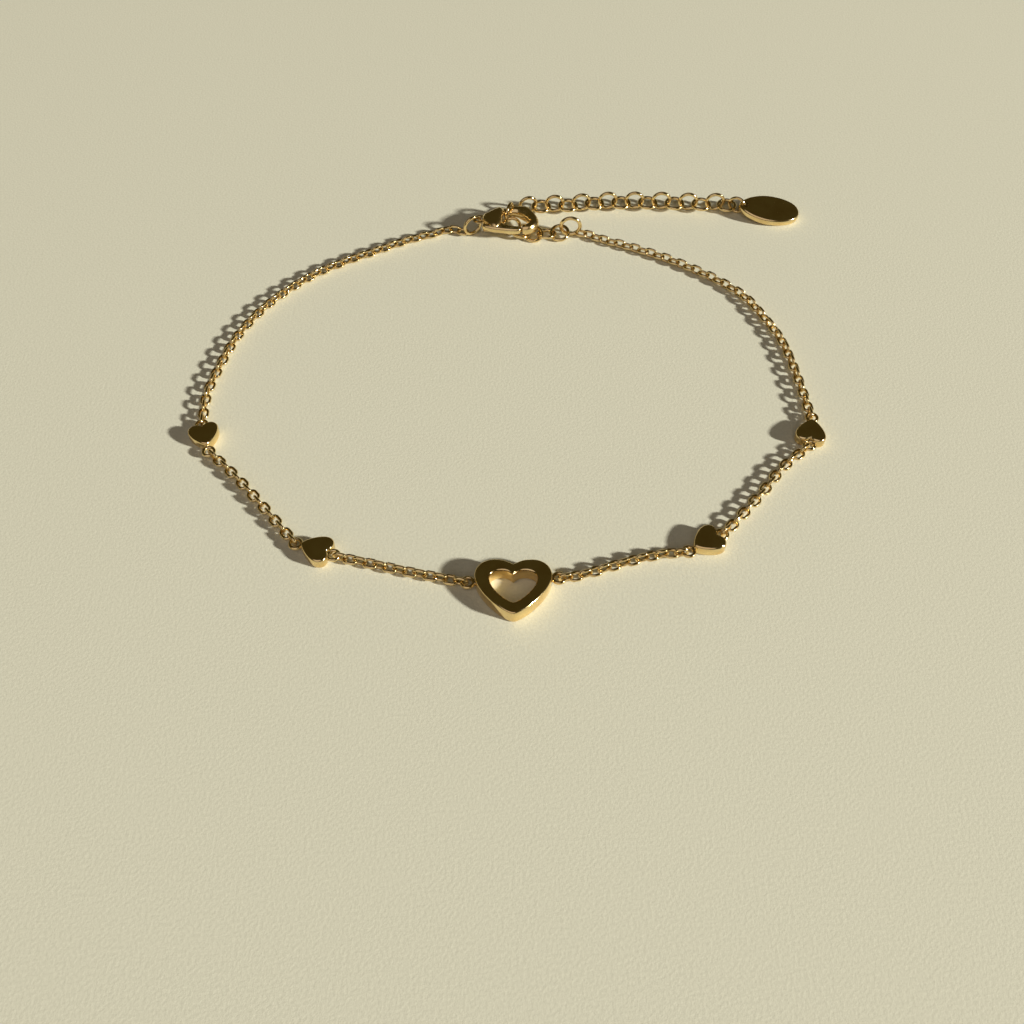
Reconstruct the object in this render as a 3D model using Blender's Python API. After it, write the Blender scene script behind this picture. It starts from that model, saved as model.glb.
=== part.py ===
"""Charm bracelet: a fine cable chain with one open heart, four small hearts, a lobster
clasp and an extender that ends in a drop, laid in a ring on a table.

Metres, +Z up. The finished bracelet's box stands on the origin.
"""

import math

import bmesh
import bpy
from mathutils import Matrix, Vector

# Running clearances between separate pieces, and how far soldered wires run together
PIECE_GAP = 0.00010
SOLDER = 0.00006

# Fine cable chain
CHAIN_WIRE = 0.00032
CHAIN_LINK_WIDTH = 0.00120
CHAIN_PITCH = 0.00100
CHAIN_FLAT_DROP = 0.00012
CHAIN_LINK_SIDES = 10
CHAIN_WIRE_SIDES = 5
TUBE_POINT_SPACING = 2.5

# Hearts: the widths are across the lobes, the other lengths along the heart's own axis,
# counted from the line where it is widest
OPEN_HEART_THICKNESS = 0.00156
EDGE_ROUNDING = 0.00026
OPEN_HEART_WIDTH = 0.00720
OPEN_HEART_TOP = 0.00174
OPEN_HEART_CLEFT = 0.00122
OPEN_HEART_TIP = 0.00430
OPEN_HEART_SIDE_BAND = 0.00138
OPEN_HEART_END_BAND = 0.00127
OPEN_HEART_HOLE_DROP = 0.00035
OPEN_HEART_LEFT_EYE_DROP = 0.00032
OPEN_HEART_RIGHT_EYE_RISE = 0.00018
SMALL_HEART_THICKNESS = 0.00120
SMALL_HEART_WIDTH = 0.00310
SMALL_HEART_TOP = 0.00081
SMALL_HEART_CLEFT = 0.00049
SMALL_HEART_TIP = 0.00220
TIP_ROUNDING_SHARE = 0.12

# Eyes soldered to the hearts
EYE_WIRE = 0.00034
EYE_OUTER = 0.00145
EYE_SINK = 0.00010
EYE_SIDES = 10

# Jump rings, both standing on edge
CLASP_RING_OUTER = 0.00260
CLASP_RING_WIRE = 0.00040
CLASP_RING_HEADING = math.radians(33.0)
END_RING_OUTER = 0.00275
END_RING_WIRE = 0.00045
TAG_RING_OUTER = 0.00230
TAG_RING_WIRE = 0.00036
TAG_RING_HEADING = math.radians(-25.0)
RING_SIDES = 14
RING_WIRE_SIDES = 6

# Lobster clasp: its own +X runs from the eye to the nose
CLASP_LENGTH = 0.00790
CLASP_WIDTH = 0.00420
CLASP_THICKNESS = 0.00178
CLASP_EDGE_ROUNDING = 0.00048
CLASP_MIDDLE_HEIGHT = 0.00180
CLASP_HEADING = math.radians(-8.0)
CLASP_HOOK_RADIUS = 0.00085
CLASP_EYE_OUTER = 0.00168
CLASP_EYE_WIRE = 0.00044
LEVER_THICKNESS = 0.00085
LEVER_EDGE_ROUNDING = 0.00022
LEVER_PLAY = 0.00012
LEVER_PIN_RADIUS = 0.00025
LEVER_BORE_PLAY = 0.00008

# Extender: round links, and the drop at its free end
EXTENDER_WIRE = 0.00040
EXTENDER_OUTER = 0.00250
EXTENDER_PITCH = 0.00162
TAG_LENGTH = 0.00740
TAG_WIDTH = 0.00430
TAG_THICKNESS = 0.00095
TAG_EDGE_ROUNDING = 0.00032
TAG_HEADING = math.radians(-6.0)
TAG_HOLE_RADIUS = 0.00039
TAG_HOLE_RIM = 0.00035
TAG_LIFT = 0.00065
TAG_ROLL = math.radians(8.0)
TAG_NOSE_HALF = 0.00100
# How deep the last link lies in the drop's ring, as a share of the room below its middle
LAST_LINK_SHARE = 0.90

# Places on the table, seen from above: x, y and the heading of each heart's cleft in degrees
OPEN_HEART_PLACE = (-0.00073, -0.02685, 90.0)
SMALL_HEART_PLACES = {
    "heart_left_back": (-0.03258, -0.00845, 110.0),
    "heart_left_front": (-0.01874, -0.02368, -20.0),
    "heart_right_front": (0.01826, -0.02219, 31.0),
    "heart_right_back": (0.02970, -0.00918, -103.0),
}
CLASP_PLACE = (-0.00105, 0.02450)
END_RING_PLACE = (0.00620, 0.02425)
LAST_EXTENDER_LINK_PLACE = (0.02570, 0.02925)

# Chosen points of every chain's way over the table, seen from above, between the pieces
# that it joins
CHAIN_ROUTE = {
    "chain_left_back": [
        (-0.0083, 0.0247), (-0.0103, 0.0239), (-0.0137, 0.0225), (-0.0179, 0.0202),
        (-0.0203, 0.0189), (-0.0244, 0.0160), (-0.0286, 0.0113), (-0.0314, 0.0058),
        (-0.0329, -0.0006), (-0.0332, -0.0036),
    ],
    "chain_left_side": [(-0.02965, -0.0130), (-0.02715, -0.01575), (-0.02445, -0.0190)],
    "chain_left_front": [(-0.01425, -0.0249), (-0.0108, -0.0258), (-0.0073, -0.0266)],
    "chain_right_front": [(0.0058, -0.0262), (0.00955, -0.0249), (0.01305, -0.0239)],
    "chain_right_side": [(0.0210, -0.0197), (0.02395, -0.0162), (0.02645, -0.0130)],
    "chain_right_back": [
        (0.03005, -0.0026), (0.02965, 0.0014), (0.02895, 0.0054), (0.02765, 0.0088),
        (0.02595, 0.0123), (0.02345, 0.0150), (0.0205, 0.0173), (0.01705, 0.0195),
        (0.01305, 0.0215), (0.01005, 0.0228), (0.00835, 0.0237),
    ],
    "extender_front": [(0.00035, 0.0240), (0.00185, 0.0239)],
    "extender_back": [
        (-0.0004, 0.0279), (0.0013, 0.0286), (0.0035, 0.0288), (0.0067, 0.0290),
        (0.0098, 0.0294), (0.0128, 0.0295), (0.01595, 0.0295), (0.01905, 0.0294),
        (0.02240, 0.0292),
    ],
}

# Where the extender hangs on the clasp's hook: x as a share of the clasp's length, y of its
# width, and the wire's radius as a share of the hook's
HOOK_CATCH = (-0.050, 0.478, 0.70)
# The hook in the same shares, from inside the housing round the nose to the hook's end
HOOK_SECTIONS = [
    # along, across, radius
    (-0.240, 0.300, 0.60),
    (-0.152, 0.425, 0.66),
    HOOK_CATCH,
    (0.063, 0.500, 0.82),
    (0.185, 0.435, 0.88),
    (0.290, 0.265, 0.78),
    (0.362, 0.040, 0.68),
    (0.345, -0.140, 0.68),
    (0.285, -0.258, 0.66),
    (0.205, -0.292, 0.56),
]
CATCH_TURN = math.radians(-20.0)
# From the first share of the clasp's length to the second, the hook grows this much taller
# than it is wide
HOOK_TALL_FROM = 0.085
HOOK_TALL_TO = 0.180
HOOK_TALLER = 0.25
# The housing's outline in shares of the clasp's length and width
HOUSING_OUTLINE = [
    # along, across
    (-0.420, 0.110),
    (-0.345, 0.225),
    (-0.265, 0.405),
    (-0.190, 0.520),
    (-0.128, 0.380),
    (-0.130, 0.000),
    (-0.135, -0.290),
    (-0.190, -0.420),
    (-0.270, -0.370),
    (-0.345, -0.240),
    (-0.420, -0.110),
]
LEVER_PIVOT = (-0.215, -0.220)
# The lever's outline in the same shares: inner edge to the gate's end, back along the outer
# edge, and the thumb tab
LEVER_OUTLINE = [
    # along, across
    (-0.262, -0.085),
    (-0.190, -0.050),
    (-0.120, -0.150),
    (0.040, -0.240),
    (0.187, -0.262),
    (0.174, -0.415),
    (0.030, -0.468),
    (-0.150, -0.460),
    (-0.290, -0.440),
    (-0.410, -0.325),
    (-0.300, -0.315),
]
CLASP_EYE_ALONG = -0.475
SLOT_BACK = 0.030
SLOT_LEFT = -0.318

GOLD_COLOUR = (0.78, 0.56, 0.27, 1.0)
GOLD_ROUGHNESS = 0.16
LATHE_SIDES = 12

CHAIN_LIFT = CHAIN_LINK_WIDTH / 2
EYE_HEIGHT = CHAIN_LIFT + SOLDER / 3


def named_collection(name):
    """Return a new collection linked to the scene."""
    collection = bpy.data.collections.new(name)
    bpy.context.scene.collection.children.link(collection)
    return collection


def gold(name):
    """A polished gold material of its own for one piece."""
    material = bpy.data.materials.new(name)
    material.use_nodes = True
    shader = material.node_tree.nodes["Principled BSDF"]
    shader.inputs["Base Color"].default_value = GOLD_COLOUR
    shader.inputs["Metallic"].default_value = 1.0
    shader.inputs["Roughness"].default_value = GOLD_ROUGHNESS
    return material


def object_from_mesh(name, mesh):
    """Put a mesh in the scene under a plain name."""
    made = bpy.data.objects.new(name, mesh)
    bpy.context.scene.collection.objects.link(made)
    return made


def apply_modifiers(target):
    """Swap the object's mesh for the one that its modifiers give."""
    bpy.context.view_layer.update()
    evaluated = target.evaluated_get(bpy.context.evaluated_depsgraph_get())
    mesh = bpy.data.meshes.new_from_object(evaluated)
    target.modifiers.clear()
    target.data = mesh


def combine(target, operand, operation):
    """Boolean the operand into the target and remove the operand."""
    step = target.modifiers.new(operation.lower(), "BOOLEAN")
    step.operation = operation
    step.solver = "EXACT"
    step.object = operand
    apply_modifiers(target)
    bpy.data.objects.remove(operand)


def curve_to_mesh(curve_object, weld_distance=0.000001):
    """Turn a curve object into a welded mesh object of the same name."""
    bpy.context.view_layer.update()
    evaluated = curve_object.evaluated_get(bpy.context.evaluated_depsgraph_get())
    mesh = bpy.data.meshes.new_from_object(evaluated)
    work = bmesh.new()
    work.from_mesh(mesh)
    bmesh.ops.remove_doubles(work, verts=work.verts, dist=weld_distance)
    bmesh.ops.recalc_face_normals(work, faces=work.faces)
    work.to_mesh(mesh)
    work.free()
    name = curve_object.name
    matrix = curve_object.matrix_world.copy()
    bpy.data.objects.remove(curve_object)
    made = object_from_mesh(name, mesh)
    made.matrix_world = matrix
    return made


def polygon_radius(wire, sides):
    """Radius of the polygon whose area is that of round wire."""
    return wire / 2 * math.sqrt(2 * math.pi / (sides * math.sin(2 * math.pi / sides)))


def link_mesh(length, width, wire, sides, wire_sides):
    """One link, flat in XY and long in X: a torus whose two ends are moved apart."""
    bpy.ops.mesh.primitive_torus_add(
        major_segments=sides,
        minor_segments=wire_sides,
        major_radius=(width - wire) / 2,
        minor_radius=polygon_radius(wire, wire_sides),
        location=(0.0, 0.0, 0.0),
    )
    torus = bpy.context.active_object
    mesh = torus.data
    bpy.data.objects.remove(torus)
    for vertex in mesh.vertices:
        vertex.co.x += math.copysign((length - width) / 2, vertex.co.x)
    return mesh


def wire_frame(point, heading, roll):
    """Matrix that puts a link at a point, long along the heading, rolled about it."""
    along = heading.normalized()
    across = Vector((0.0, 0.0, 1.0)).cross(along).normalized()
    upward = along.cross(across)
    turn = Matrix((along, across, upward)).transposed().to_4x4()
    return Matrix.Translation(point) @ turn @ Matrix.Rotation(roll, 4, "X")


def copies_of(name, mesh, frames):
    """One object that holds a copy of the mesh at each frame."""
    work = bmesh.new()
    for frame in frames:
        copied = mesh.copy()
        copied.transform(frame)
        work.from_mesh(copied)
        bpy.data.meshes.remove(copied)
    joined = bpy.data.meshes.new(name)
    work.to_mesh(joined)
    work.free()
    return object_from_mesh(name, joined)


def fused_links(name, mesh, frames):
    """Every link of a chain as one solid: even ones joined to the odd ones between them."""
    even = copies_of(name, mesh, frames[0::2])
    odd = copies_of(name + "_between", mesh, frames[1::2])
    combine(even, odd, "UNION")
    return even


class Route:
    """A smooth curve through chosen points, read by its length."""

    SAMPLES = 24

    def __init__(self, points):
        points = [Vector(point) for point in points]
        first = points[0] * 2 - points[1]
        last = points[-1] * 2 - points[-2]
        padded = [first] + points + [last]
        self.samples = []
        for index in range(1, len(padded) - 2):
            for step in range(self.SAMPLES):
                self.samples.append(self.between(padded, index, step / self.SAMPLES))
        self.samples.append(points[-1])
        self.lengths = [0.0]
        for before, after in zip(self.samples, self.samples[1:]):
            self.lengths.append(self.lengths[-1] + (after - before).length)

    @staticmethod
    def between(points, index, share):
        """Catmull-Rom point between two of the chosen ones."""
        a, b, c, d = points[index - 1:index + 3]
        square = share * share
        cube = square * share
        return (b * 2 + (c - a) * share + (a * 2 - b * 5 + c * 4 - d) * square
                + (b * 3 - a - c * 3 + d) * cube) / 2

    @property
    def length(self):
        return self.lengths[-1]

    def at(self, distance):
        """Point at a distance from the start, run on straight past either end."""
        if distance <= 0.0:
            return self.samples[0] + (self.samples[0] - self.samples[1]).normalized() * -distance
        if distance >= self.length:
            run_on = (self.samples[-1] - self.samples[-2]).normalized()
            return self.samples[-1] + run_on * (distance - self.length)
        for index, reached in enumerate(self.lengths):
            if reached >= distance:
                break
        span = reached - self.lengths[index - 1]
        share = (distance - self.lengths[index - 1]) / span
        return self.samples[index - 1].lerp(self.samples[index], share)

    def heading(self, distance, reach):
        """Direction of the chord that a link of this half length spans."""
        return (self.at(distance + reach) - self.at(distance - reach)).normalized()


def heart_spline(width, top, cleft, tip, shift=0.0):
    """Bezier points of a heart whose cleft looks along +X, as (point, left, right)."""
    half = width / 2
    lobe = width * 0.25
    round_share = 0.5523
    one_side = [
        ((top, lobe), (top, lobe * (1 - round_share)), (top, lobe + (half - lobe) * round_share)),
        ((0.0, half), (top * round_share, half), (-tip * 0.42, half)),
    ]
    cleft_handle = (cleft + (top - cleft) * 0.62, lobe * 0.36)
    tip_handle = (-tip, width * TIP_ROUNDING_SHARE)
    points = [((cleft, 0.0), (cleft_handle[0], -cleft_handle[1]), cleft_handle)]
    points += one_side
    points.append(((-tip, 0.0), tip_handle, (tip_handle[0], -tip_handle[1])))
    for point, left, right in reversed(one_side):
        points.append((
            (point[0], -point[1]), (right[0], -right[1]), (left[0], -left[1]),
        ))
    return [tuple((x + shift, y) for x, y in group) for group in points]


def plate(name, splines, thickness, rounding, steps):
    """A flat solid with rounded rims from closed Bezier outlines, its middle at Z 0."""
    curve = bpy.data.curves.new(name, "CURVE")
    curve.dimensions = "2D"
    curve.fill_mode = "BOTH"
    curve.extrude = thickness / 2 - rounding
    curve.bevel_depth = rounding
    curve.bevel_resolution = 1
    curve.offset = -rounding
    curve.resolution_u = steps
    for points in splines:
        spline = curve.splines.new("BEZIER")
        spline.bezier_points.add(len(points) - 1)
        spline.use_cyclic_u = True
        for target, (point, left, right) in zip(spline.bezier_points, points):
            target.handle_left_type = "FREE"
            target.handle_right_type = "FREE"
            target.co = (*point, 0.0)
            target.handle_left = (*left, 0.0)
            target.handle_right = (*right, 0.0)
    made = bpy.data.objects.new(name, curve)
    bpy.context.scene.collection.objects.link(made)
    return curve_to_mesh(made)


def smooth_spline(points, reach=0.30):
    """Bezier points of a closed soft outline through the given ones."""
    vectors = [Vector(point) for point in points]
    count = len(vectors)
    groups = []
    for index, point in enumerate(vectors):
        before = vectors[index - 1]
        after = vectors[(index + 1) % count]
        along = (after - before).normalized()
        left = point - along * (point - before).length * reach
        right = point + along * (after - point).length * reach
        groups.append((tuple(point), tuple(left), tuple(right)))
    return groups


def place(target, x, y, z, heading):
    """Move a piece's mesh to its place on the table."""
    target.data.transform(Matrix.Translation((x, y, z)) @ Matrix.Rotation(heading, 4, "Z"))


def ring(name, outer, wire, frame, sides=RING_SIDES, wire_sides=RING_WIRE_SIDES):
    """A round ring of round wire at a frame."""
    return copies_of(name, link_mesh(outer, outer, wire, sides, wire_sides), [frame])


def add_eye(target, x, y, z):
    """Solder a flat eye to a heart, in the heart's own frame."""
    eye = ring("eye", EYE_OUTER, EYE_WIRE, Matrix.Translation((x, y, z)),
               EYE_SIDES, CHAIN_WIRE_SIDES)
    combine(target, eye, "UNION")


def heart_frame(place_row):
    """Matrix from a heart's own frame to the table."""
    x, y, degrees = place_row
    return Matrix.Translation((x, y, 0.0)) @ Matrix.Rotation(math.radians(degrees), 4, "Z")


def open_heart_eyes():
    """The open heart's left and right eye centres in its own frame."""
    reach = OPEN_HEART_WIDTH / 2 + EYE_OUTER / 2 - EYE_SINK
    return (Vector((-OPEN_HEART_LEFT_EYE_DROP, reach, 0.0)),
            Vector((OPEN_HEART_RIGHT_EYE_RISE, -reach, 0.0)))


def small_heart_eyes():
    """A small heart's eye centres in its own frame: at the cleft and at the tip."""
    reach = EYE_OUTER / 2 - EYE_SINK
    return (Vector((SMALL_HEART_CLEFT + reach, 0.0, 0.0)),
            Vector((-SMALL_HEART_TIP - reach, 0.0, 0.0)))


def build_open_heart():
    """The open heart with an eye at each side."""
    outside = heart_spline(OPEN_HEART_WIDTH, OPEN_HEART_TOP, OPEN_HEART_CLEFT, OPEN_HEART_TIP)
    inside = heart_spline(
        OPEN_HEART_WIDTH - 2 * OPEN_HEART_SIDE_BAND,
        OPEN_HEART_TOP - OPEN_HEART_END_BAND + OPEN_HEART_HOLE_DROP,
        OPEN_HEART_CLEFT - OPEN_HEART_END_BAND + OPEN_HEART_HOLE_DROP,
        OPEN_HEART_TIP - OPEN_HEART_END_BAND - OPEN_HEART_HOLE_DROP,
        shift=-OPEN_HEART_HOLE_DROP,
    )
    heart = plate("centre_heart", [outside, inside], OPEN_HEART_THICKNESS, EDGE_ROUNDING, 5)
    heart.data.transform(Matrix.Translation((0.0, 0.0, OPEN_HEART_THICKNESS / 2)))
    for eye in open_heart_eyes():
        add_eye(heart, eye.x, eye.y, EYE_HEIGHT)
    heart.data.transform(heart_frame(OPEN_HEART_PLACE))
    return heart


def build_small_heart(name, place_row):
    """A small solid heart with an eye in its cleft and one at its tip."""
    outline = heart_spline(
        SMALL_HEART_WIDTH, SMALL_HEART_TOP, SMALL_HEART_CLEFT, SMALL_HEART_TIP)
    heart = plate(name, [outline], SMALL_HEART_THICKNESS, EDGE_ROUNDING, 4)
    heart.data.transform(Matrix.Translation((0.0, 0.0, SMALL_HEART_THICKNESS / 2)))
    for eye in small_heart_eyes():
        add_eye(heart, eye.x, eye.y, EYE_HEIGHT)
    heart.data.transform(heart_frame(place_row))
    return heart


def on_table(place_row, point):
    """A point of a heart on the table, at the height of the chain's middle."""
    moved = heart_frame(place_row) @ point
    return Vector((moved.x, moved.y, CHAIN_LIFT))


def route_between(name, start, end):
    """The chain's route from one fastening through its chosen points to the next."""
    middle = [Vector((x, y, end.z)) for x, y in CHAIN_ROUTE[name]]
    return Route([start] + middle + [end])


def build_link_chain(name, start, end):
    """Interlocked links from eye to eye, upright at both ends and every second one flat."""
    route = route_between(name, start, end)
    pairs = round((route.length / CHAIN_PITCH - 1) / 2)
    gaps = 2 * pairs
    pitch = (route.length - CHAIN_WIRE + SOLDER - PIECE_GAP) / (gaps + 1)
    length = pitch + 2 * CHAIN_WIRE - SOLDER
    shape = link_mesh(length, CHAIN_LINK_WIDTH, CHAIN_WIRE, CHAIN_LINK_SIDES, CHAIN_WIRE_SIDES)
    frames = []
    for index in range(gaps + 1):
        distance = (route.length - gaps * pitch) / 2 + index * pitch
        flat = index % 2 == 1
        point = route.at(distance) - Vector((0.0, 0.0, CHAIN_FLAT_DROP if flat else 0.0))
        heading = route.heading(distance, length / 2)
        frames.append(wire_frame(point, heading, 0.0 if flat else math.pi / 2))
    return fused_links(name, shape, frames)


def build_chain_tube(name, start, end, start_trim, end_trim):
    """A plain round tube in the room of a long stretch of fine chain."""
    route = route_between(name, start, end)
    length = route.length - start_trim - end_trim
    count = math.ceil(length / (TUBE_POINT_SPACING * CHAIN_LINK_WIDTH)) + 1
    curve = bpy.data.curves.new(name, "CURVE")
    curve.dimensions = "3D"
    curve.bevel_depth = CHAIN_LINK_WIDTH / 2
    curve.bevel_resolution = 2
    curve.use_fill_caps = True
    spline = curve.splines.new("POLY")
    spline.points.add(count - 1)
    for index, point in enumerate(spline.points):
        point.co = (*route.at(start_trim + length * index / (count - 1)), 1.0)
    made = bpy.data.objects.new(name, curve)
    bpy.context.scene.collection.objects.link(made)
    return curve_to_mesh(made)


def clasp_frame():
    """Matrix from the clasp's own frame to the table."""
    x, y = CLASP_PLACE
    return (Matrix.Translation((x, y, CLASP_MIDDLE_HEIGHT))
            @ Matrix.Rotation(CLASP_HEADING, 4, "Z"))


def on_clasp(along, across):
    """A point of the clasp from its shares of length and width, in its own frame."""
    return Vector((along * CLASP_LENGTH, across * CLASP_WIDTH, 0.0))


def hook_wire():
    """The hook, a bar that swells towards the nose and stands taller there."""
    rows = [(*on_clasp(along, across), radius) for along, across, radius in HOOK_SECTIONS]
    route = Route([Vector((x, y, radius * CLASP_HOOK_RADIUS)) for x, y, _, radius in rows])
    curve = bpy.data.curves.new("hook", "CURVE")
    curve.dimensions = "3D"
    curve.bevel_depth = CLASP_HOOK_RADIUS
    curve.bevel_resolution = 3
    curve.use_fill_caps = True
    spline = curve.splines.new("POLY")
    count = 16
    spline.points.add(count - 1)
    for index, point in enumerate(spline.points):
        sample = route.at(route.length * index / (count - 1))
        point.co = (sample.x, sample.y, 0.0, 1.0)
        point.radius = sample.z / CLASP_HOOK_RADIUS
    made = bpy.data.objects.new("hook", curve)
    bpy.context.scene.collection.objects.link(made)
    hook = curve_to_mesh(made)
    for vertex in hook.data.vertices:
        along = vertex.co.x / CLASP_LENGTH
        share = (along - HOOK_TALL_FROM) / (HOOK_TALL_TO - HOOK_TALL_FROM)
        vertex.co.z *= 1 + HOOK_TALLER * min(max(share, 0.0), 1.0)
    return hook


def box(name, low, high):
    """A box between two corners."""
    bpy.ops.mesh.primitive_cube_add(size=1.0, location=(0.0, 0.0, 0.0))
    made = bpy.context.active_object
    made.name = name
    middle = [(a + b) / 2 for a, b in zip(low, high)]
    spans = [b - a for a, b in zip(low, high)]
    made.data.transform(Matrix.Translation(middle) @ Matrix.Diagonal((*spans, 1.0)))
    return made


def upright_cylinder(name, x, y, radius, height):
    """A cylinder along Z about Z 0."""
    bpy.ops.mesh.primitive_cylinder_add(
        vertices=LATHE_SIDES, radius=radius, depth=height, location=(0.0, 0.0, 0.0))
    made = bpy.context.active_object
    made.name = name
    made.data.transform(Matrix.Translation((x, y, 0.0)))
    return made


def build_clasp_body():
    """Housing with a slot for the lever, hook, eye and the lever's pin, cast as one."""
    outline = smooth_spline([on_clasp(*row).to_2d() for row in HOUSING_OUTLINE])
    body = plate("clasp_body", [outline], CLASP_THICKNESS, CLASP_EDGE_ROUNDING, 3)
    combine(body, hook_wire(), "UNION")
    eye_x = CLASP_EYE_ALONG * CLASP_LENGTH
    eye = ring("clasp_eye", CLASP_EYE_OUTER, CLASP_EYE_WIRE, Matrix.Translation((eye_x, 0.0, 0.0)),
               LATHE_SIDES)
    combine(body, eye, "UNION")
    half_slot = LEVER_THICKNESS / 2 + LEVER_PLAY
    low = on_clasp(SLOT_LEFT, -1.0)
    high = on_clasp(0.0, SLOT_BACK)
    slot = box("slot", (low.x, low.y, -half_slot), (high.x, high.y, half_slot))
    combine(body, slot, "DIFFERENCE")
    pivot = on_clasp(*LEVER_PIVOT)
    pin = upright_cylinder("pin", pivot.x, pivot.y, LEVER_PIN_RADIUS,
                           CLASP_THICKNESS - CLASP_EDGE_ROUNDING)
    combine(body, pin, "UNION")
    body.data.transform(clasp_frame())
    return body


def build_clasp_lever():
    """The gate with its thumb tab, turning on the pin; its origin is on the pin's axis."""
    pivot = on_clasp(*LEVER_PIVOT)
    outline = smooth_spline([(on_clasp(*row) - pivot).to_2d() for row in LEVER_OUTLINE])
    lever = plate("clasp_lever", [outline], LEVER_THICKNESS, LEVER_EDGE_ROUNDING, 2)
    bore = upright_cylinder("bore", 0.0, 0.0, LEVER_PIN_RADIUS + LEVER_BORE_PLAY,
                            2 * LEVER_THICKNESS)
    combine(lever, bore, "DIFFERENCE")
    lever.matrix_world = clasp_frame() @ Matrix.Translation(pivot)
    return lever


def standing_ring_reach(outer, wire, height):
    """How far from its middle a standing ring's wire is at a height over the table."""
    radius = (outer - wire) / 2
    return math.sqrt(radius ** 2 - (outer / 2 - height) ** 2)


def standing_ring(name, outer, wire, x, y, heading):
    """A jump ring on edge on the table, its plane along the heading."""
    point = Vector((x, y, outer / 2))
    along = Vector((math.cos(heading), math.sin(heading), 0.0))
    return ring(name, outer, wire, wire_frame(point, along, math.pi / 2))


def clasp_ring_place():
    """Middle of the ring that holds the clasp, its wire through the clasp's eye."""
    eye = clasp_frame() @ on_clasp(CLASP_EYE_ALONG, 0.0)
    reach = standing_ring_reach(CLASP_RING_OUTER, CLASP_RING_WIRE, CLASP_MIDDLE_HEIGHT)
    place = eye - heading_vector(CLASP_RING_HEADING) * reach
    return Vector((place.x, place.y, 0.0))


def caught_link_place():
    """Middle of the extender link that hangs on the clasp's hook."""
    along, across, radius = HOOK_CATCH
    point = clasp_frame() @ on_clasp(along, across)
    inside = EXTENDER_OUTER / 2 - EXTENDER_WIRE
    hang = inside * math.cos(math.pi / CHAIN_LINK_SIDES) - radius * CLASP_HOOK_RADIUS
    return Vector((point.x, point.y, point.z - hang + PIECE_GAP))


def extender_flat_drop(pitch):
    """How far a flat link sits below the middle of the upright ones beside it."""
    radius = (EXTENDER_OUTER - EXTENDER_WIRE) / 2
    touching = radius - EXTENDER_WIRE + SOLDER
    return math.sqrt(max(touching ** 2 - (pitch - radius) ** 2, 0.0))


def room_in_tag_ring():
    """How far from the ring's middle the last link's wire can lie inside it."""
    return TAG_RING_OUTER / 2 - TAG_RING_WIRE - EXTENDER_WIRE / 2 - PIECE_GAP


def last_link_drop():
    """How far the last link sits below the upright ones, so that the drop's ring holds it."""
    height = TAG_RING_OUTER / 2 - LAST_LINK_SHARE * room_in_tag_ring()
    return EXTENDER_OUTER / 2 - height


def last_link_gap():
    """Distance from the last upright link to the flat one in the drop's ring."""
    radius = (EXTENDER_OUTER - EXTENDER_WIRE) / 2
    touching = radius - EXTENDER_WIRE + SOLDER
    return radius + math.sqrt(touching ** 2 - last_link_drop() ** 2)


def back_extender_frames():
    """Frames of the links from the caught one to the drop, every second one flat."""
    caught = caught_link_place()
    end = Vector((*LAST_EXTENDER_LINK_PLACE, EXTENDER_OUTER / 2))
    route = route_between("extender_back", caught, end)
    gaps = 2 * round((route.length / EXTENDER_PITCH - 1) / 2) + 1
    pitch = (route.length - last_link_gap()) / (gaps - 1)
    frames = []
    for index in range(gaps + 1):
        last = index == gaps
        distance = route.length if last else index * pitch
        drop = Vector((0.0, 0.0, last_link_drop() if last else extender_flat_drop(pitch)))
        flat = index % 2 == 1
        heading = route.heading(distance, pitch)
        if index == 0:
            heading = Matrix.Rotation(CATCH_TURN, 3, "Z") @ Vector((0.0, 1.0, 0.0))
        point = route.at(distance) - (drop if flat else Vector())
        frames.append(wire_frame(point, heading, 0.0 if flat else math.pi / 2))
    return frames


def front_extender_frames():
    """Frames of the links that lie under the clasp, leaning left and right in turn."""
    radius = (EXTENDER_OUTER - EXTENDER_WIRE) / 2
    touching = radius - EXTENDER_WIRE + SOLDER
    side = math.sqrt(radius ** 2 - (EXTENDER_PITCH / 2) ** 2)
    lean = math.atan((EXTENDER_WIRE - SOLDER) / (2 * side))
    lying = polygon_radius(EXTENDER_WIRE, CHAIN_WIRE_SIDES) + radius * math.sin(lean)
    caught = caught_link_place()
    hung = 0.62 * touching
    chosen = [Vector((x, y, lying)) for x, y in CHAIN_ROUTE["extender_front"]]
    away = (chosen[0] - caught).to_2d().normalized()
    away = Matrix.Rotation(math.radians(-20.0), 2) @ away
    start = Vector((*(caught.to_2d() + away * hung), 0.0))
    start.z = caught.z - math.sqrt(touching ** 2 - hung ** 2)
    ring_radius = (END_RING_OUTER - END_RING_WIRE) / 2
    inside = ring_radius - END_RING_WIRE / 2 - EXTENDER_WIRE / 2 - PIECE_GAP
    raised = 0.86 * inside
    end = Vector((END_RING_PLACE[0] - math.sqrt(inside ** 2 - raised ** 2),
                  END_RING_PLACE[1], END_RING_OUTER / 2 - raised))
    under = start + Vector((*(away * radius), 0.0))
    under.z = lying + (start.z - lying) * 0.25
    before_end = Vector((end.x - radius, end.y - 0.0003, lying + (end.z - lying) * 0.35))
    route = Route([start, under] + chosen + [before_end, end])
    room = route.length - 2 * radius
    gaps = round(room / EXTENDER_PITCH)
    frames = []
    for index in range(gaps + 1):
        distance = radius + room * index / gaps
        roll = lean if index % 2 == 0 else -lean
        frames.append(wire_frame(route.at(distance), route.heading(distance, radius), roll))
    return frames


def build_extender():
    """The whole extender as one solid, caught by the clasp at its bend."""
    shape = link_mesh(EXTENDER_OUTER, EXTENDER_OUTER, EXTENDER_WIRE,
                      CHAIN_LINK_SIDES, CHAIN_WIRE_SIDES)
    frames = front_extender_frames()[::-1] + back_extender_frames()
    return fused_links("extender_chain", shape, frames)


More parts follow.
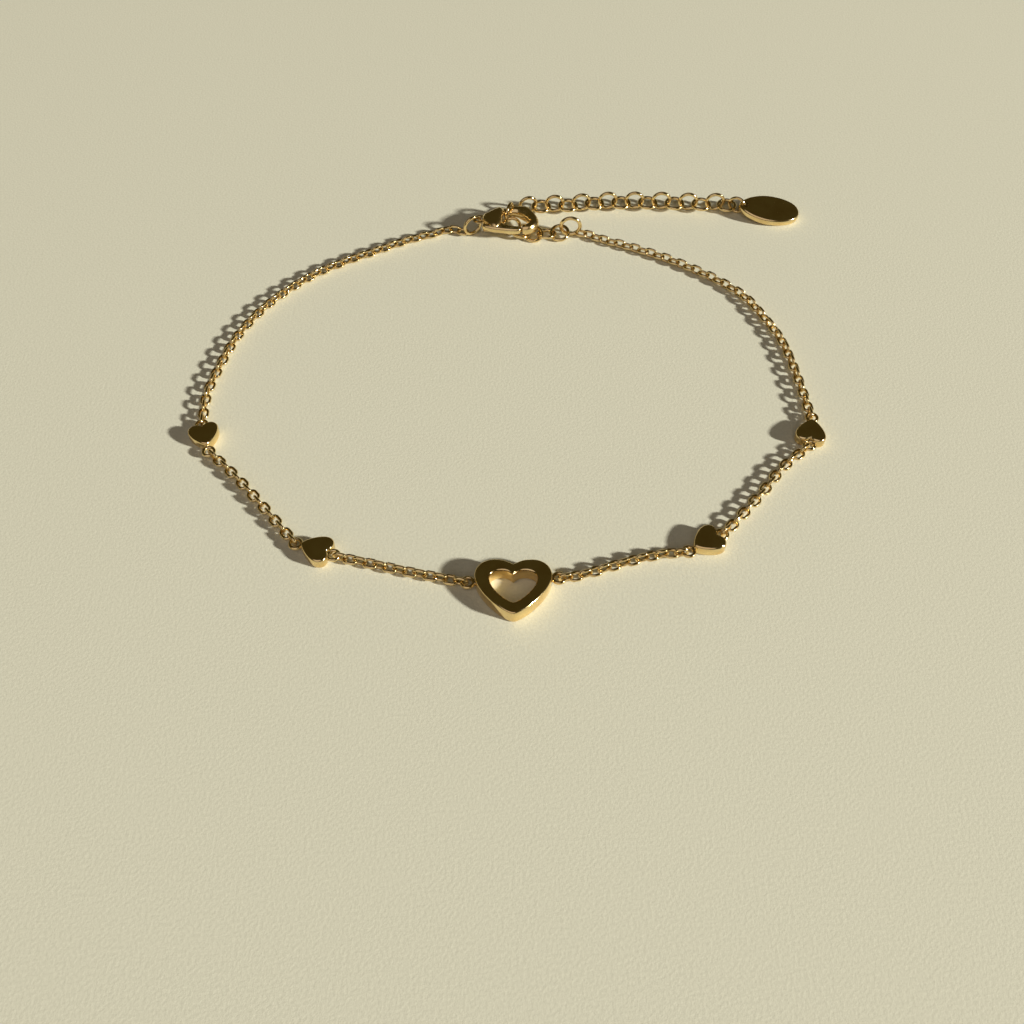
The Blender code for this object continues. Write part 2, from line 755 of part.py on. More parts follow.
def heading_vector(angle):
    """Unit vector on the table at an angle."""
    return Vector((math.cos(angle), math.sin(angle), 0.0))


def tag_ring_place():
    """Middle of the drop's ring on edge: the last, flat extender link lies inside it."""
    last = back_extender_frames()[-1].translation
    radius = (EXTENDER_OUTER - EXTENDER_WIRE) / 2
    below = TAG_RING_OUTER / 2 - last.z
    reach = radius + math.sqrt(room_in_tag_ring() ** 2 - below ** 2)
    place = last + heading_vector(TAG_RING_HEADING) * reach
    return Vector((place.x, place.y, TAG_RING_OUTER / 2))


def build_tag_ring():
    """The ring on edge between the extender and the drop."""
    middle = tag_ring_place()
    return standing_ring("tag_ring", TAG_RING_OUTER, TAG_RING_WIRE, middle.x, middle.y,
                         TAG_RING_HEADING)


def build_tag():
    """A smooth leaf-shaped drop with a hole for its ring, leaning on its near side."""
    half = TAG_WIDTH / 2
    widest = TAG_LENGTH * 0.50
    nose = TAG_HOLE_RADIUS + TAG_HOLE_RIM
    outline = [
        ((0.0, 0.0), (0.0, -TAG_NOSE_HALF), (0.0, TAG_NOSE_HALF)),
        ((widest, half), (widest * 0.55, half), (widest * 1.55, half)),
        ((TAG_LENGTH, 0.0), (TAG_LENGTH, half * 0.66), (TAG_LENGTH, -half * 0.66)),
        ((widest, -half), (widest * 1.55, -half), (widest * 0.55, -half)),
    ]
    tag = plate("end_tag", [outline], TAG_THICKNESS, TAG_EDGE_ROUNDING, 6)
    hole = upright_cylinder("hole", nose, 0.0, TAG_HOLE_RADIUS, 2 * TAG_THICKNESS)
    combine(tag, hole, "DIFFERENCE")
    slope = math.asin(TAG_LIFT / TAG_LENGTH)
    lean = Matrix.Rotation(slope, 4, "Y") @ Matrix.Rotation(TAG_ROLL, 4, "X")
    tag.data.transform(lean)
    lowest = min(vertex.co.z for vertex in tag.data.vertices)
    middle = tag_ring_place()
    height = (lean @ Vector((nose, 0.0, 0.0))).z - lowest - middle.z
    wire = math.sqrt(((TAG_RING_OUTER - TAG_RING_WIRE) / 2) ** 2 - height ** 2)
    hole_at = middle + heading_vector(TAG_RING_HEADING) * (wire + TAG_RING_WIRE / 8)
    start = hole_at - heading_vector(TAG_HEADING) * nose
    place(tag, start.x, start.y, -lowest, TAG_HEADING)
    return tag


def build_chains():
    """The six stretches of fine chain, four of them link by link."""
    left_eye, right_eye = (on_table(OPEN_HEART_PLACE, eye) for eye in open_heart_eyes())
    cleft_eye, tip_eye = small_heart_eyes()
    left_back, left_front, right_front, right_back = SMALL_HEART_PLACES.values()
    clasp_ring = clasp_ring_place()
    clasp_reach = standing_ring_reach(CLASP_RING_OUTER, CLASP_RING_WIRE, CHAIN_LIFT)
    clasp_side = clasp_ring - heading_vector(CLASP_RING_HEADING) * clasp_reach
    clasp_side.z = CHAIN_LIFT
    end_reach = standing_ring_reach(END_RING_OUTER, END_RING_WIRE, CHAIN_LIFT)
    end_side = Vector((END_RING_PLACE[0] + end_reach, END_RING_PLACE[1], CHAIN_LIFT))
    eye_trim = EYE_OUTER / 2 + 2 * PIECE_GAP
    ring_trim = END_RING_WIRE / 2 + 2 * PIECE_GAP + CHAIN_WIRE
    return [
        build_chain_tube("chain_left_back", clasp_side, on_table(left_back, cleft_eye),
                         ring_trim, eye_trim),
        build_link_chain("chain_left_side", on_table(left_back, tip_eye),
                         on_table(left_front, tip_eye)),
        build_link_chain("chain_left_front", on_table(left_front, cleft_eye), left_eye),
        build_link_chain("chain_right_front", right_eye, on_table(right_front, tip_eye)),
        build_link_chain("chain_right_side", on_table(right_front, cleft_eye),
                         on_table(right_back, cleft_eye)),
        build_chain_tube("chain_right_back", on_table(right_back, tip_eye), end_side,
                         eye_trim, ring_trim),
    ]


def stand_on_origin(parts):
    """Move every piece so that the bracelet's box stands on the origin."""
    bpy.context.view_layer.update()
    corners = [part.matrix_world @ vertex.co for part in parts for vertex in part.data.vertices]
    low = [min(corner[axis] for corner in corners) for axis in range(3)]
    high = [max(corner[axis] for corner in corners) for axis in range(3)]
    shift = Vector((-(low[0] + high[0]) / 2, -(low[1] + high[1]) / 2, -low[2]))
    for part in parts:
        part.matrix_world = Matrix.Translation(shift) @ part.matrix_world


def main():
    for item in list(bpy.data.objects):
        bpy.data.objects.remove(item)
    parts = [build_open_heart()]
    parts += [build_small_heart(name, row) for name, row in SMALL_HEART_PLACES.items()]
    parts += build_chains()
    clasp_ring = clasp_ring_place()
    parts += [
        build_clasp_body(),
        build_clasp_lever(),
        standing_ring("clasp_ring", CLASP_RING_OUTER, CLASP_RING_WIRE,
                      clasp_ring.x, clasp_ring.y, CLASP_RING_HEADING),
        standing_ring("end_ring", END_RING_OUTER, END_RING_WIRE, *END_RING_PLACE, 0.0),
        build_extender(),
        build_tag_ring(),
        build_tag(),
    ]
    stand_on_origin(parts)
    collection = named_collection("charm_bracelet")
    for part in parts:
        for owner in list(part.users_collection):
            owner.objects.unlink(part)
        collection.objects.link(part)
        part.data.materials.clear()
        part.data.materials.append(gold(part.name))
        part.data.shade_smooth()
        part.data.set_sharp_from_angle(angle=math.radians(50.0))


main()
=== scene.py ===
"""Looks of the gold charm bracelet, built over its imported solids.

Metres, +Z up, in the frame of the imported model.
"""
import logging
import math
from collections.abc import Callable, Iterator, Sequence
from contextlib import contextmanager
from dataclasses import dataclass, field
from enum import Enum

import bmesh
import bpy
from mathutils import Matrix, Vector


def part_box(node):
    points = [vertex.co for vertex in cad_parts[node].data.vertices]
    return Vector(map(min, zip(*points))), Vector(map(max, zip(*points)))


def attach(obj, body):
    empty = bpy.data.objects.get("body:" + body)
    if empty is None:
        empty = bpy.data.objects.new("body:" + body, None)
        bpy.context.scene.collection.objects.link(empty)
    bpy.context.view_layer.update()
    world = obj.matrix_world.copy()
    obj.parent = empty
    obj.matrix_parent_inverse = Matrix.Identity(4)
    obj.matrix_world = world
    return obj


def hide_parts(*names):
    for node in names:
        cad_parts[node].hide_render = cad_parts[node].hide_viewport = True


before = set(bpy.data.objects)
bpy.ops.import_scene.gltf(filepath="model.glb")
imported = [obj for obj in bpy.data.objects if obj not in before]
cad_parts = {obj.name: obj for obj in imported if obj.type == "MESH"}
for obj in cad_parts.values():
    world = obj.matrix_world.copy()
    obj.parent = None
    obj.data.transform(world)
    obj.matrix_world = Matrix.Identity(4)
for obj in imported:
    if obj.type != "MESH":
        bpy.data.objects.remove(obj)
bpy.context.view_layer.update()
log = logging.getLogger("bracelet")

Pair = tuple[float, float]
Triple = tuple[float, float, float]
Colour = Triple
Point = Pair
BezierPoint = tuple[Point, Point, Point]

MM = 0.001
CIRCLE_HANDLE = 0.5523
MERGE_DISTANCE = 0.0005 * MM
FLAT_ANGLE = math.radians(0.4)
SHARP_EDGE = 40.0
RIM_STEPS = 3
WIRE_STEPS = 4
FINE_DETAIL = 2.0
TONE_DETAIL = 4.0
WEAR_DETAIL = 5.0
NOISE_ROUGHNESS = 0.55


# Shader arithmetic
class Signal:
    """A shader socket that takes part in Python arithmetic."""

    def __init__(self, sheet: "NodeSheet", socket: bpy.types.NodeSocket) -> None:
        """Keep the socket with the sheet that it belongs to."""
        self.sheet = sheet
        self.socket = socket

    def math(self, operation: str, other: object) -> "Signal":
        """Combine this value with another in one Math node.

        Args:
            operation: the Math node's operation.
            other: a number or a Signal.

        Returns:
            The result as a Signal.
        """
        return self.sheet.node(
            "ShaderNodeMath", {"operation": operation}, {0: self, 1: other})

    def __add__(self, other: object) -> "Signal":
        """Sum."""
        return self.math("ADD", other)

    def __sub__(self, other: object) -> "Signal":
        """Difference."""
        return self.math("SUBTRACT", other)

    def __mul__(self, other: object) -> "Signal":
        """Product."""
        return self.math("MULTIPLY", other)

    __radd__ = __add__
    __rmul__ = __mul__


class NodeSheet:
    """The node tree of one material."""

    def __init__(self, name: str) -> None:
        """Start an empty material with its output and metal shader."""
        self.material = bpy.data.materials.new(name)
        self.material.use_nodes = True
        self.tree = self.material.node_tree
        self.tree.nodes.clear()
        self.shader = self.tree.nodes.new("ShaderNodeBsdfPrincipled")
        output = self.tree.nodes.new("ShaderNodeOutputMaterial")
        self.tree.links.new(self.shader.outputs["BSDF"], output.inputs["Surface"])

    def node(self, kind: str, settings: dict[str, object] | None = None,
             values: dict[object, object] | None = None, output: object = 0) -> Signal:
        """Add a node: its settings first, then what its sockets take.

        Args:
            kind: the node's type.
            settings: properties such as an operation.
            values: a number, colour or Signal for each named or numbered socket.
            output: the output that is handed back.

        Returns:
            The chosen output as a Signal.
        """
        made = self.tree.nodes.new(kind)
        for key, value in (settings or {}).items():
            setattr(made, key, value)
        for key, value in (values or {}).items():
            self.feed(made.inputs[key], value)
        return Signal(self, made.outputs[output])

    def feed(self, socket: bpy.types.NodeSocket, value: object) -> None:
        """Link a Signal to a socket, or set the socket to a plain value."""
        if isinstance(value, Signal):
            self.tree.links.new(value.socket, socket)
        else:
            socket.default_value = value

    def blend(self, share: object, first: object, second: object) -> Signal:
        """Mix two colours by a share from 0 to 1."""
        return self.node(
            "ShaderNodeMix", {"data_type": "RGBA"}, {0: share, 6: first, 7: second}, output=2)

    def place(self, stretch: Triple = (1.0, 1.0, 1.0), turn: float = 0.0) -> Signal:
        """Object coordinates, stretched and turned about the vertical."""
        coordinates = self.node("ShaderNodeTexCoord", output="Object")
        return self.node(
            "ShaderNodeMapping", {},
            {"Vector": coordinates, "Rotation": (0.0, 0.0, turn), "Scale": stretch})

    def noise(self, place: Signal, size: float, detail: float) -> Signal:
        """Soft noise whose features are this many metres across."""
        return self.node(
            "ShaderNodeTexNoise", {},
            {"Vector": place, "Scale": 1.0 / size, "Detail": detail,
             "Roughness": NOISE_ROUGHNESS})

    def spread(self, value: Signal, low: float, high: float) -> Signal:
        """Stretch a value between two limits over 0 to 1, clamped."""
        return self.node(
            "ShaderNodeMapRange", {"clamp": True},
            {"Value": value, "From Min": low, "From Max": high})

    def bump(self, height: object, strength: float, distance: float) -> None:
        """Give the shader a bump of this height map."""
        self.feed(self.shader.inputs["Normal"], self.node("ShaderNodeBump", {}, {
            "Strength": strength, "Distance": distance, "Height": height}))


class SurfaceWork(Enum):
    """How a gold surface was worked."""

    POLISHED = "polished"
    DRAWN = "drawn"
    CAST = "cast"


@dataclass(frozen=True)
class Hairlines:
    """Lines one way: their turn in radians, their length and the limits of their mask."""

    turn: float
    size: float
    limits: Pair


@dataclass(frozen=True)
class GoldFinish:
    """One finish of the gold plate."""

    name: str
    work: SurfaceWork
    bright: Colour = (0.90, 0.72, 0.38)
    deep: Colour = (0.78, 0.57, 0.26)
    roughness: float = 0.12
    roughness_change: float = 0.10
    tone_size: float = 1.6 * MM
    tone_limits: Pair = (0.34, 0.68)
    wear_share: float = 0.45
    wear_limits: Pair = (0.52, 0.72)
    wear_rough: float = 0.6
    lines: tuple[Hairlines, Hairlines] = (
        Hairlines(0.6, 0.9 * MM, (0.63, 0.70)), Hairlines(2.1, 1.1 * MM, (0.65, 0.72)))
    line_tint: float = 0.15
    line_rough: float = 0.3
    grain_rough: float = 0.5
    paler: Pair = (1.05, 0.02)
    scratch_depth: float = 0.25
    grain_depth: float = 0.20
    grain_size: float = 0.10 * MM
    bump_strength: float = 0.10
    bump_depth: float = 0.004 * MM

    def material(self) -> bpy.types.Material:
        """Build the finish.

        Returns:
            The node material.
        """
        sheet = NodeSheet(self.name)
        even = sheet.place()
        tone = sheet.spread(sheet.noise(even, self.tone_size, TONE_DETAIL), *self.tone_limits)
        fine = sheet.noise(even, self.grain_size, FINE_DETAIL)
        hairlines = self.hairlines(sheet)
        wear = sheet.spread(sheet.noise(even, self.tone_size * self.wear_share, WEAR_DETAIL),
                            *self.wear_limits)
        colour = sheet.blend(tone, (*self.deep, 1.0), (*self.bright, 1.0))
        factor, more = self.paler
        pale = tuple(min(1.0, channel * factor + more) for channel in self.bright)
        colour = sheet.blend(hairlines * self.line_tint, colour, (*pale, 1.0))
        worn = wear * self.wear_rough + hairlines * self.line_rough
        rough = (self.roughness + self.roughness_change * worn
                 + self.roughness_change * (fine - 0.5) * self.grain_rough)
        sheet.feed(sheet.shader.inputs["Base Color"], colour)
        sheet.feed(sheet.shader.inputs["Roughness"], rough)
        sheet.shader.inputs["Metallic"].default_value = 1.0
        sheet.bump(hairlines * -self.scratch_depth + fine * self.grain_depth,
                   self.bump_strength, self.bump_depth)
        return sheet.material

    def hairlines(self, sheet: NodeSheet) -> Signal:
        """Fine lines left by the tool, two ways over each other.

        Args:
            sheet: the material's nodes.

        Returns:
            A mask that is 1 on a line.
        """
        stretch = {
            SurfaceWork.POLISHED: (1.0, 22.0, 1.0),
            SurfaceWork.DRAWN: (1.0, 9.0, 9.0),
            SurfaceWork.CAST: (1.0, 3.0, 1.0),
        }[self.work]
        one, other = (
            sheet.spread(sheet.noise(sheet.place(stretch, line.turn), line.size, FINE_DETAIL),
                         *line.limits)
            for line in self.lines)
        return one + other


POLISHED_GOLD = GoldFinish("polished_gold", SurfaceWork.POLISHED)
DRAWN_GOLD = GoldFinish(
    "drawn_gold", SurfaceWork.DRAWN, roughness=0.11, roughness_change=0.08, tone_size=0.7 * MM)
CAST_GOLD = GoldFinish(
    "cast_gold", SurfaceWork.CAST, roughness=0.20, roughness_change=0.10, tone_size=2.2 * MM,
    grain_depth=0.10, grain_size=0.16 * MM)


# Work at the bench: selection, edit mode and modifiers
def pick(*pieces: bpy.types.Object) -> None:
    """Select only these pieces; the first becomes active."""
    bpy.ops.object.select_all(action="DESELECT")
    for piece in pieces:
        piece.select_set(True)
    bpy.context.view_layer.objects.active = pieces[0]


@contextmanager
def edit_mode(piece: bpy.types.Object) -> Iterator[None]:
    """Work on one piece in edit mode with nothing selected.

    Args:
        piece: the piece to edit.

    Yields:
        Nothing, while edit mode lasts.
    """
    pick(piece)
    bpy.ops.object.mode_set(mode="EDIT")
    bpy.ops.mesh.select_mode(type="VERT")
    bpy.ops.mesh.select_all(action="DESELECT")
    yield
    bpy.ops.object.mode_set(mode="OBJECT")


def select_where(piece: bpy.types.Object, wanted: Callable[[Vector], bool]) -> None:
    """Select the vertices whose place passes a test; the piece is in edit mode."""
    work = bmesh.from_edit_mesh(piece.data)
    for vertex in work.verts:
        vertex.select = wanted(vertex.co)
    work.select_flush_mode()
    bmesh.update_edit_mesh(piece.data)


def modify(piece: bpy.types.Object, kind: str, **settings: object) -> None:
    """Add a modifier with its settings and apply it."""
    pick(piece)
    bpy.ops.object.modifier_add(type=kind)
    step = piece.modifiers[-1]
    for key, value in settings.items():
        setattr(step, key, value)
    bpy.ops.object.modifier_apply(modifier=step.name)


def tidy_mesh(piece: bpy.types.Object) -> None:
    """Merge doubled points and turn every face outwards."""
    with edit_mode(piece):
        bpy.ops.mesh.select_all(action="SELECT")
        bpy.ops.mesh.remove_doubles(threshold=MERGE_DISTANCE)
        bpy.ops.mesh.normals_make_consistent(inside=False)


def smooth(piece: bpy.types.Object, angle: float = 180.0) -> None:
    """Shade smooth across edges below an angle in degrees."""
    pick(piece)
    if angle >= 180.0:
        bpy.ops.object.shade_smooth()
    else:
        bpy.ops.object.shade_smooth_by_angle(angle=math.radians(angle))


def polish(piece: bpy.types.Object) -> None:
    """Shade a plate smooth; its large flat faces keep their own direction beside the rims."""
    smooth(piece, SHARP_EDGE)
    with edit_mode(piece):
        bpy.ops.mesh.select_all(action="SELECT")
        bpy.ops.mesh.dissolve_limited(angle_limit=FLAT_ANGLE)
    modify(piece, "WEIGHTED_NORMAL", weight=100, keep_sharp=False)


def join(name: str, pieces: Sequence[bpy.types.Object]) -> bpy.types.Object:
    """Join pieces into the first and name it."""
    pick(*pieces)
    if len(pieces) > 1:
        bpy.ops.object.join()
    made = bpy.context.view_layer.objects.active
    made.name = name
    made.data.name = name
    return made


def copies(name: str, pattern: bpy.types.Object, places: Sequence[Matrix]) -> bpy.types.Object:
    """Copy a pattern to each place, join the copies and remove the pattern.

    Args:
        name: name of the joined piece.
        pattern: the piece that repeats, about the origin.
        places: one matrix for each copy.

    Returns:
        The joined piece.
    """
    made = []
    for place in places:
        piece = bpy.data.objects.new(pattern.name, pattern.data.copy())
        bpy.context.scene.collection.objects.link(piece)
        piece.data.transform(place)
        made.append(piece)
    bpy.data.objects.remove(pattern)
    return join(name, made)


def cut(piece: bpy.types.Object, tool: bpy.types.Object) -> None:
    """Take a tool's shape out of a piece and remove the tool."""
    modify(piece, "BOOLEAN", object=tool, operation="DIFFERENCE", solver="EXACT")
    bpy.data.objects.remove(tool)


def fuse(piece: bpy.types.Object, other: bpy.types.Object) -> None:
    """Unite a piece with another and remove the other."""
    modify(piece, "BOOLEAN", object=other, operation="UNION", solver="EXACT")
    bpy.data.objects.remove(other)


def round_wire(outer: float, wire: float, sides: int, wire_sides: int,
               stretch: float = 0.0) -> bpy.types.Object:
    """A ring of round wire, flat in XY, its two halves moved apart for an oval.

    Args:
        outer: width over all.
        wire: the wire's diameter.
        sides: segments round the ring.
        wire_sides: segments round the wire.
        stretch: how much longer than wide it is, along X.

    Returns:
        The ring about the origin.
    """
    bpy.ops.mesh.primitive_torus_add(
        major_segments=sides, minor_segments=wire_sides,
        major_radius=(outer - wire) / 2, minor_radius=wire / 2)
    made = bpy.context.view_layer.objects.active
    if stretch > 0.0:
        with edit_mode(made):
            for side in (1.0, -1.0):
                select_where(made, lambda spot: spot.x * side > 0.0)
                bpy.ops.transform.translate(value=(side * stretch / 2, 0.0, 0.0))
    smooth(made)
    return made


def round_bar(radius: float, depth: float, at: Sequence[float] = (0.0, 0.0, 0.0),
              sides: int = 32) -> bpy.types.Object:
    """An upright cylinder with its middle at a point."""
    bpy.ops.mesh.primitive_cylinder_add(
        vertices=sides, radius=radius, depth=depth, location=at)
    return bpy.context.view_layer.objects.active


def mesh_of(curve: bpy.types.Curve) -> bpy.types.Object:
    """Turn a finished curve into a closed mesh of the same name."""
    made = bpy.data.objects.new(curve.name, curve)
    bpy.context.scene.collection.objects.link(made)
    pick(made)
    bpy.ops.object.convert(target="MESH")
    tidy_mesh(made)
    return made


def plate(name: str, outlines: Sequence[Sequence[BezierPoint]], thickness: float,
          rim: float, steps: int) -> bpy.types.Object:
    """A flat piece with rounded rims from closed outlines, its middle at Z 0.

    Args:
        name: name of the piece.
        outlines: Bezier points of each outline, the outer one first.
        thickness: height over all.
        rim: radius of the rounded rims.
        steps: segments between two points of an outline.

    Returns:
        The piece as a closed mesh.
    """
    curve = bpy.data.curves.new(name, "CURVE")
    curve.dimensions = "2D"
    curve.fill_mode = "BOTH"
    curve.extrude = thickness / 2 - rim
    curve.bevel_depth = rim
    curve.bevel_resolution = RIM_STEPS
    curve.offset = -rim
    curve.resolution_u = steps
    curve.render_resolution_u = steps
    for points in outlines:
        spline = curve.splines.new("BEZIER")
        spline.bezier_points.add(len(points) - 1)
        spline.use_cyclic_u = True
        for target, (point, left, right) in zip(spline.bezier_points, points):
            target.handle_left_type = "FREE"
            target.handle_right_type = "FREE"
            target.co = (*point, 0.0)
            target.handle_left = (*left, 0.0)
            target.handle_right = (*right, 0.0)
    return mesh_of(curve)


def soft_outline(points: Sequence[Point], reach: float = 0.30) -> list[BezierPoint]:
    """Bezier points of a closed soft outline through the given ones."""
    vectors = [Vector(point) for point in points]
    groups = []
    for index, point in enumerate(vectors):
        before = vectors[index - 1]
        after = vectors[(index + 1) % len(vectors)]
        along = (after - before).normalized()
        left = point - along * (point - before).length * reach
        right = point + along * (after - point).length * reach
        groups.append((tuple(point), tuple(left), tuple(right)))
    return groups


def swept_wire(name: str, points: Sequence[Vector],
               radii: Sequence[float]) -> bpy.types.Object:
    """A closed tube through points, thicker and thinner by its radii."""
    curve = bpy.data.curves.new(name, "CURVE")
    curve.dimensions = "3D"
    curve.bevel_depth = 1.0
    curve.bevel_resolution = WIRE_STEPS
    curve.use_fill_caps = True
    spline = curve.splines.new("POLY")
    spline.points.add(len(points) - 1)
    for target, point, radius in zip(spline.points, points, radii):
        target.co = (*point, 1.0)
        target.radius = radius
    return mesh_of(curve)


def wire_place(point: Vector, heading: Vector, roll: float) -> Matrix:
    """Matrix that puts a flat ring at a point, long along the heading, rolled about it."""
    along = heading.normalized()
    across = Vector((0.0, 0.0, 1.0)).cross(along).normalized()
    upward = along.cross(across)
    turn = Matrix((along, across, upward)).transposed().to_4x4()
    return Matrix.Translation(point) @ turn @ Matrix.Rotation(roll, 4, "X")


def heading_vector(angle: float) -> Vector:
    """Unit vector on the table at an angle."""
    return Vector((math.cos(angle), math.sin(angle), 0.0))


class Route:
    """A smooth curve through chosen points, read by its length."""

    SAMPLES = 24

    def __init__(self, points: Sequence[Vector]) -> None:
        """Sample the curve and add up its length."""
        chosen = [Vector(point) for point in points]
        first = chosen[0] * 2 - chosen[1]
        last = chosen[-1] * 2 - chosen[-2]
        padded = [first] + chosen + [last]
        self.samples = []
        for index in range(1, len(padded) - 2):
            for step in range(self.SAMPLES):
                self.samples.append(self.between(padded, index, step / self.SAMPLES))
        self.samples.append(chosen[-1])
        self.lengths = [0.0]
        for before, after in zip(self.samples, self.samples[1:]):
            self.lengths.append(self.lengths[-1] + (after - before).length)

    @staticmethod
    def between(points: Sequence[Vector], index: int, share: float) -> Vector:
        """Catmull-Rom point between two of the chosen ones."""
        a, b, c, d = points[index - 1:index + 3]
        square = share * share
        cube = square * share
        return (b * 2 + (c - a) * share + (a * 2 - b * 5 + c * 4 - d) * square
                + (b * 3 - a - c * 3 + d) * cube) / 2

    @property
    def length(self) -> float:
        """The curve's whole length."""
        return self.lengths[-1]

    def at(self, distance: float) -> Vector:
        """Point at a distance from the start, run on straight past either end.

        Args:
            distance: metres from the start.

        Returns:
            The point.
        """
        if distance <= 0.0:
            back = (self.samples[0] - self.samples[1]).normalized()
            return self.samples[0] + back * -distance
        if distance >= self.length:
            run_on = (self.samples[-1] - self.samples[-2]).normalized()
            return self.samples[-1] + run_on * (distance - self.length)
        index = next(i for i, reached in enumerate(self.lengths) if reached >= distance)
        start = self.lengths[index - 1]
        share = (distance - start) / (self.lengths[index] - start)
        return self.samples[index - 1].lerp(self.samples[index], share)

    def heading(self, distance: float, reach: float) -> Vector:
        """Direction of the chord that a link of this half length spans."""
        return (self.at(distance + reach) - self.at(distance - reach)).normalized()


@dataclass(frozen=True)
class HeartPlace:
    """Where a heart lies: x, y and the heading of its cleft in degrees."""

    x: float
    y: float
    degrees: float

    def matrix(self) -> Matrix:
        """Matrix from the heart's own frame to the table."""
        return (Matrix.Translation((self.x, self.y, 0.0))
                @ Matrix.Rotation(math.radians(self.degrees), 4, "Z"))


@dataclass(frozen=True)
class RingSize:
    """A jump ring's width over all, its wire and the heading of its plane."""

    outer: float
    wire: float
    heading: float = 0.0

    @property
    def radius(self) -> float:
        """Radius of the wire's middle."""
        return (self.outer - self.wire) / 2

    def reach(self, height: float) -> float:
        """How far from the middle of the standing ring its wire is at a height."""
        return math.sqrt(self.radius ** 2 - (self.outer / 2 - height) ** 2)


@dataclass(frozen=True)
class Layout:
    """Sizes that the pieces share, and where they lie, as in the solids."""

    gap: float = 0.10 * MM
    solder: float = 0.06 * MM
    chain_wire: float = 0.32 * MM
    chain_width: float = 1.20 * MM
    chain_pitch: float = 1.00 * MM
    chain_drop: float = 0.12 * MM
    eye_wire: float = 0.34 * MM
    eye_outer: float = 1.45 * MM
    eye_sink: float = 0.10 * MM
    clasp_ring: RingSize = RingSize(2.60 * MM, 0.40 * MM, math.radians(33.0))
    end_ring: RingSize = RingSize(2.75 * MM, 0.45 * MM)
    end_ring_at: Point = (0.00620, 0.02425)
    tag_ring: RingSize = RingSize(2.30 * MM, 0.36 * MM, math.radians(-25.0))
    clasp_length: float = 7.90 * MM
    clasp_width: float = 4.20 * MM
    clasp_height: float = 1.80 * MM
    clasp_heading: float = math.radians(-8.0)
    clasp_at: Point = (-0.00105, 0.02450)
    clasp_eye_along: float = -0.475
    hook_radius: float = 0.85 * MM
    catch_at: Triple = (-0.050, 0.478, 0.70)
    catch_turn: float = math.radians(-20.0)
    extender_wire: float = 0.40 * MM
    extender_wire_sides: int = 10
    extender_outer: float = 2.50 * MM
    extender_pitch: float = 1.62 * MM
    last_link_at: Point = (0.02570, 0.02925)
    last_link_share: float = 0.90
    open_heart: HeartPlace = HeartPlace(-0.00073, -0.02685, 90.0)

    @property
    def chain_lift(self) -> float:
        """Height of the fine chain's middle over the table."""
        return self.chain_width / 2

    @property
    def eye_height(self) -> float:
        """Height of the hearts' eyes."""
        return self.chain_lift + self.solder / 3

    def clasp_matrix(self) -> Matrix:
        """Matrix from the clasp's own frame to the table."""
        return (Matrix.Translation((*self.clasp_at, self.clasp_height))
                @ Matrix.Rotation(self.clasp_heading, 4, "Z"))

    def on_clasp(self, along: float, across: float) -> Vector:
        """A point of the clasp from its shares of length and width, in its own frame."""
        return Vector((along * self.clasp_length, across * self.clasp_width, 0.0))

    def clasp_ring_middle(self) -> Vector:
        """Middle of the ring that holds the clasp, on the table."""
        eye = self.clasp_matrix() @ self.on_clasp(self.clasp_eye_along, 0.0)
        reach = self.clasp_ring.reach(self.clasp_height)
        place = eye - heading_vector(self.clasp_ring.heading) * reach
        return Vector((place.x, place.y, 0.0))

    def caught_link(self) -> Vector:
        """Middle of the extender link that hangs on the hook."""
        along, across, radius = self.catch_at
        point = self.clasp_matrix() @ self.on_clasp(along, across)
        inside = self.extender_outer / 2 - self.extender_wire
        flat_inside = inside * math.cos(math.pi / self.extender_wire_sides)
        hang = flat_inside - radius * self.hook_radius
        return Vector((point.x, point.y, point.z - hang + self.gap))

    @property
    def room_in_tag_ring(self) -> float:
        """How far from the ring's middle the last link's wire can lie inside it."""
        ring = self.tag_ring
        return ring.outer / 2 - ring.wire - self.extender_wire / 2 - self.gap


LAYOUT = Layout()


def table_shift() -> Vector:
    """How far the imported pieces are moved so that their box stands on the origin."""
    low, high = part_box("end_ring")
    middle = (low + high) / 2
    return Vector((middle.x - LAYOUT.end_ring_at[0], middle.y - LAYOUT.end_ring_at[1], 0.0))


class Finishing:
    """Hands finished pieces over: place, body, material and a log line."""

    def __init__(self) -> None:
        """Work out the shift once."""
        self.shift = Matrix.Translation(table_shift())
        self.materials: dict[str, bpy.types.Material] = {}

    def material(self, finish: GoldFinish) -> bpy.types.Material:
        """The finish's material, built once."""
        if finish.name not in self.materials:
            self.materials[finish.name] = finish.material()
        return self.materials[finish.name]

    def hand_over(self, piece: bpy.types.Object, finish: GoldFinish, body: str,
                  *stands_for: str) -> None:
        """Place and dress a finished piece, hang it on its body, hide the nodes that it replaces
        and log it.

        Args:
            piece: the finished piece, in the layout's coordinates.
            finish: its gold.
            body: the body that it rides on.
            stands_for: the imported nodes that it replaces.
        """
        piece.data.transform(self.shift)
        piece.data.materials.clear()
        piece.data.materials.append(self.material(finish))
        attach(piece, body)
        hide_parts(*stands_for)
        log.info("%s: %d faces, stands for %s", piece.name, len(piece.data.polygons),
                 ", ".join(stands_for))


class Maker:
    """Something that builds one piece of the bracelet's own body."""

    node: str
    finish: GoldFinish

    def build(self) -> bpy.types.Object:
        """Make the piece and put it in its place."""
        raise NotImplementedError

    def deliver(self, finishing: Finishing) -> None:
        """Build the piece and hand it over."""
        finishing.hand_over(self.build(), self.finish, "bracelet", self.node)


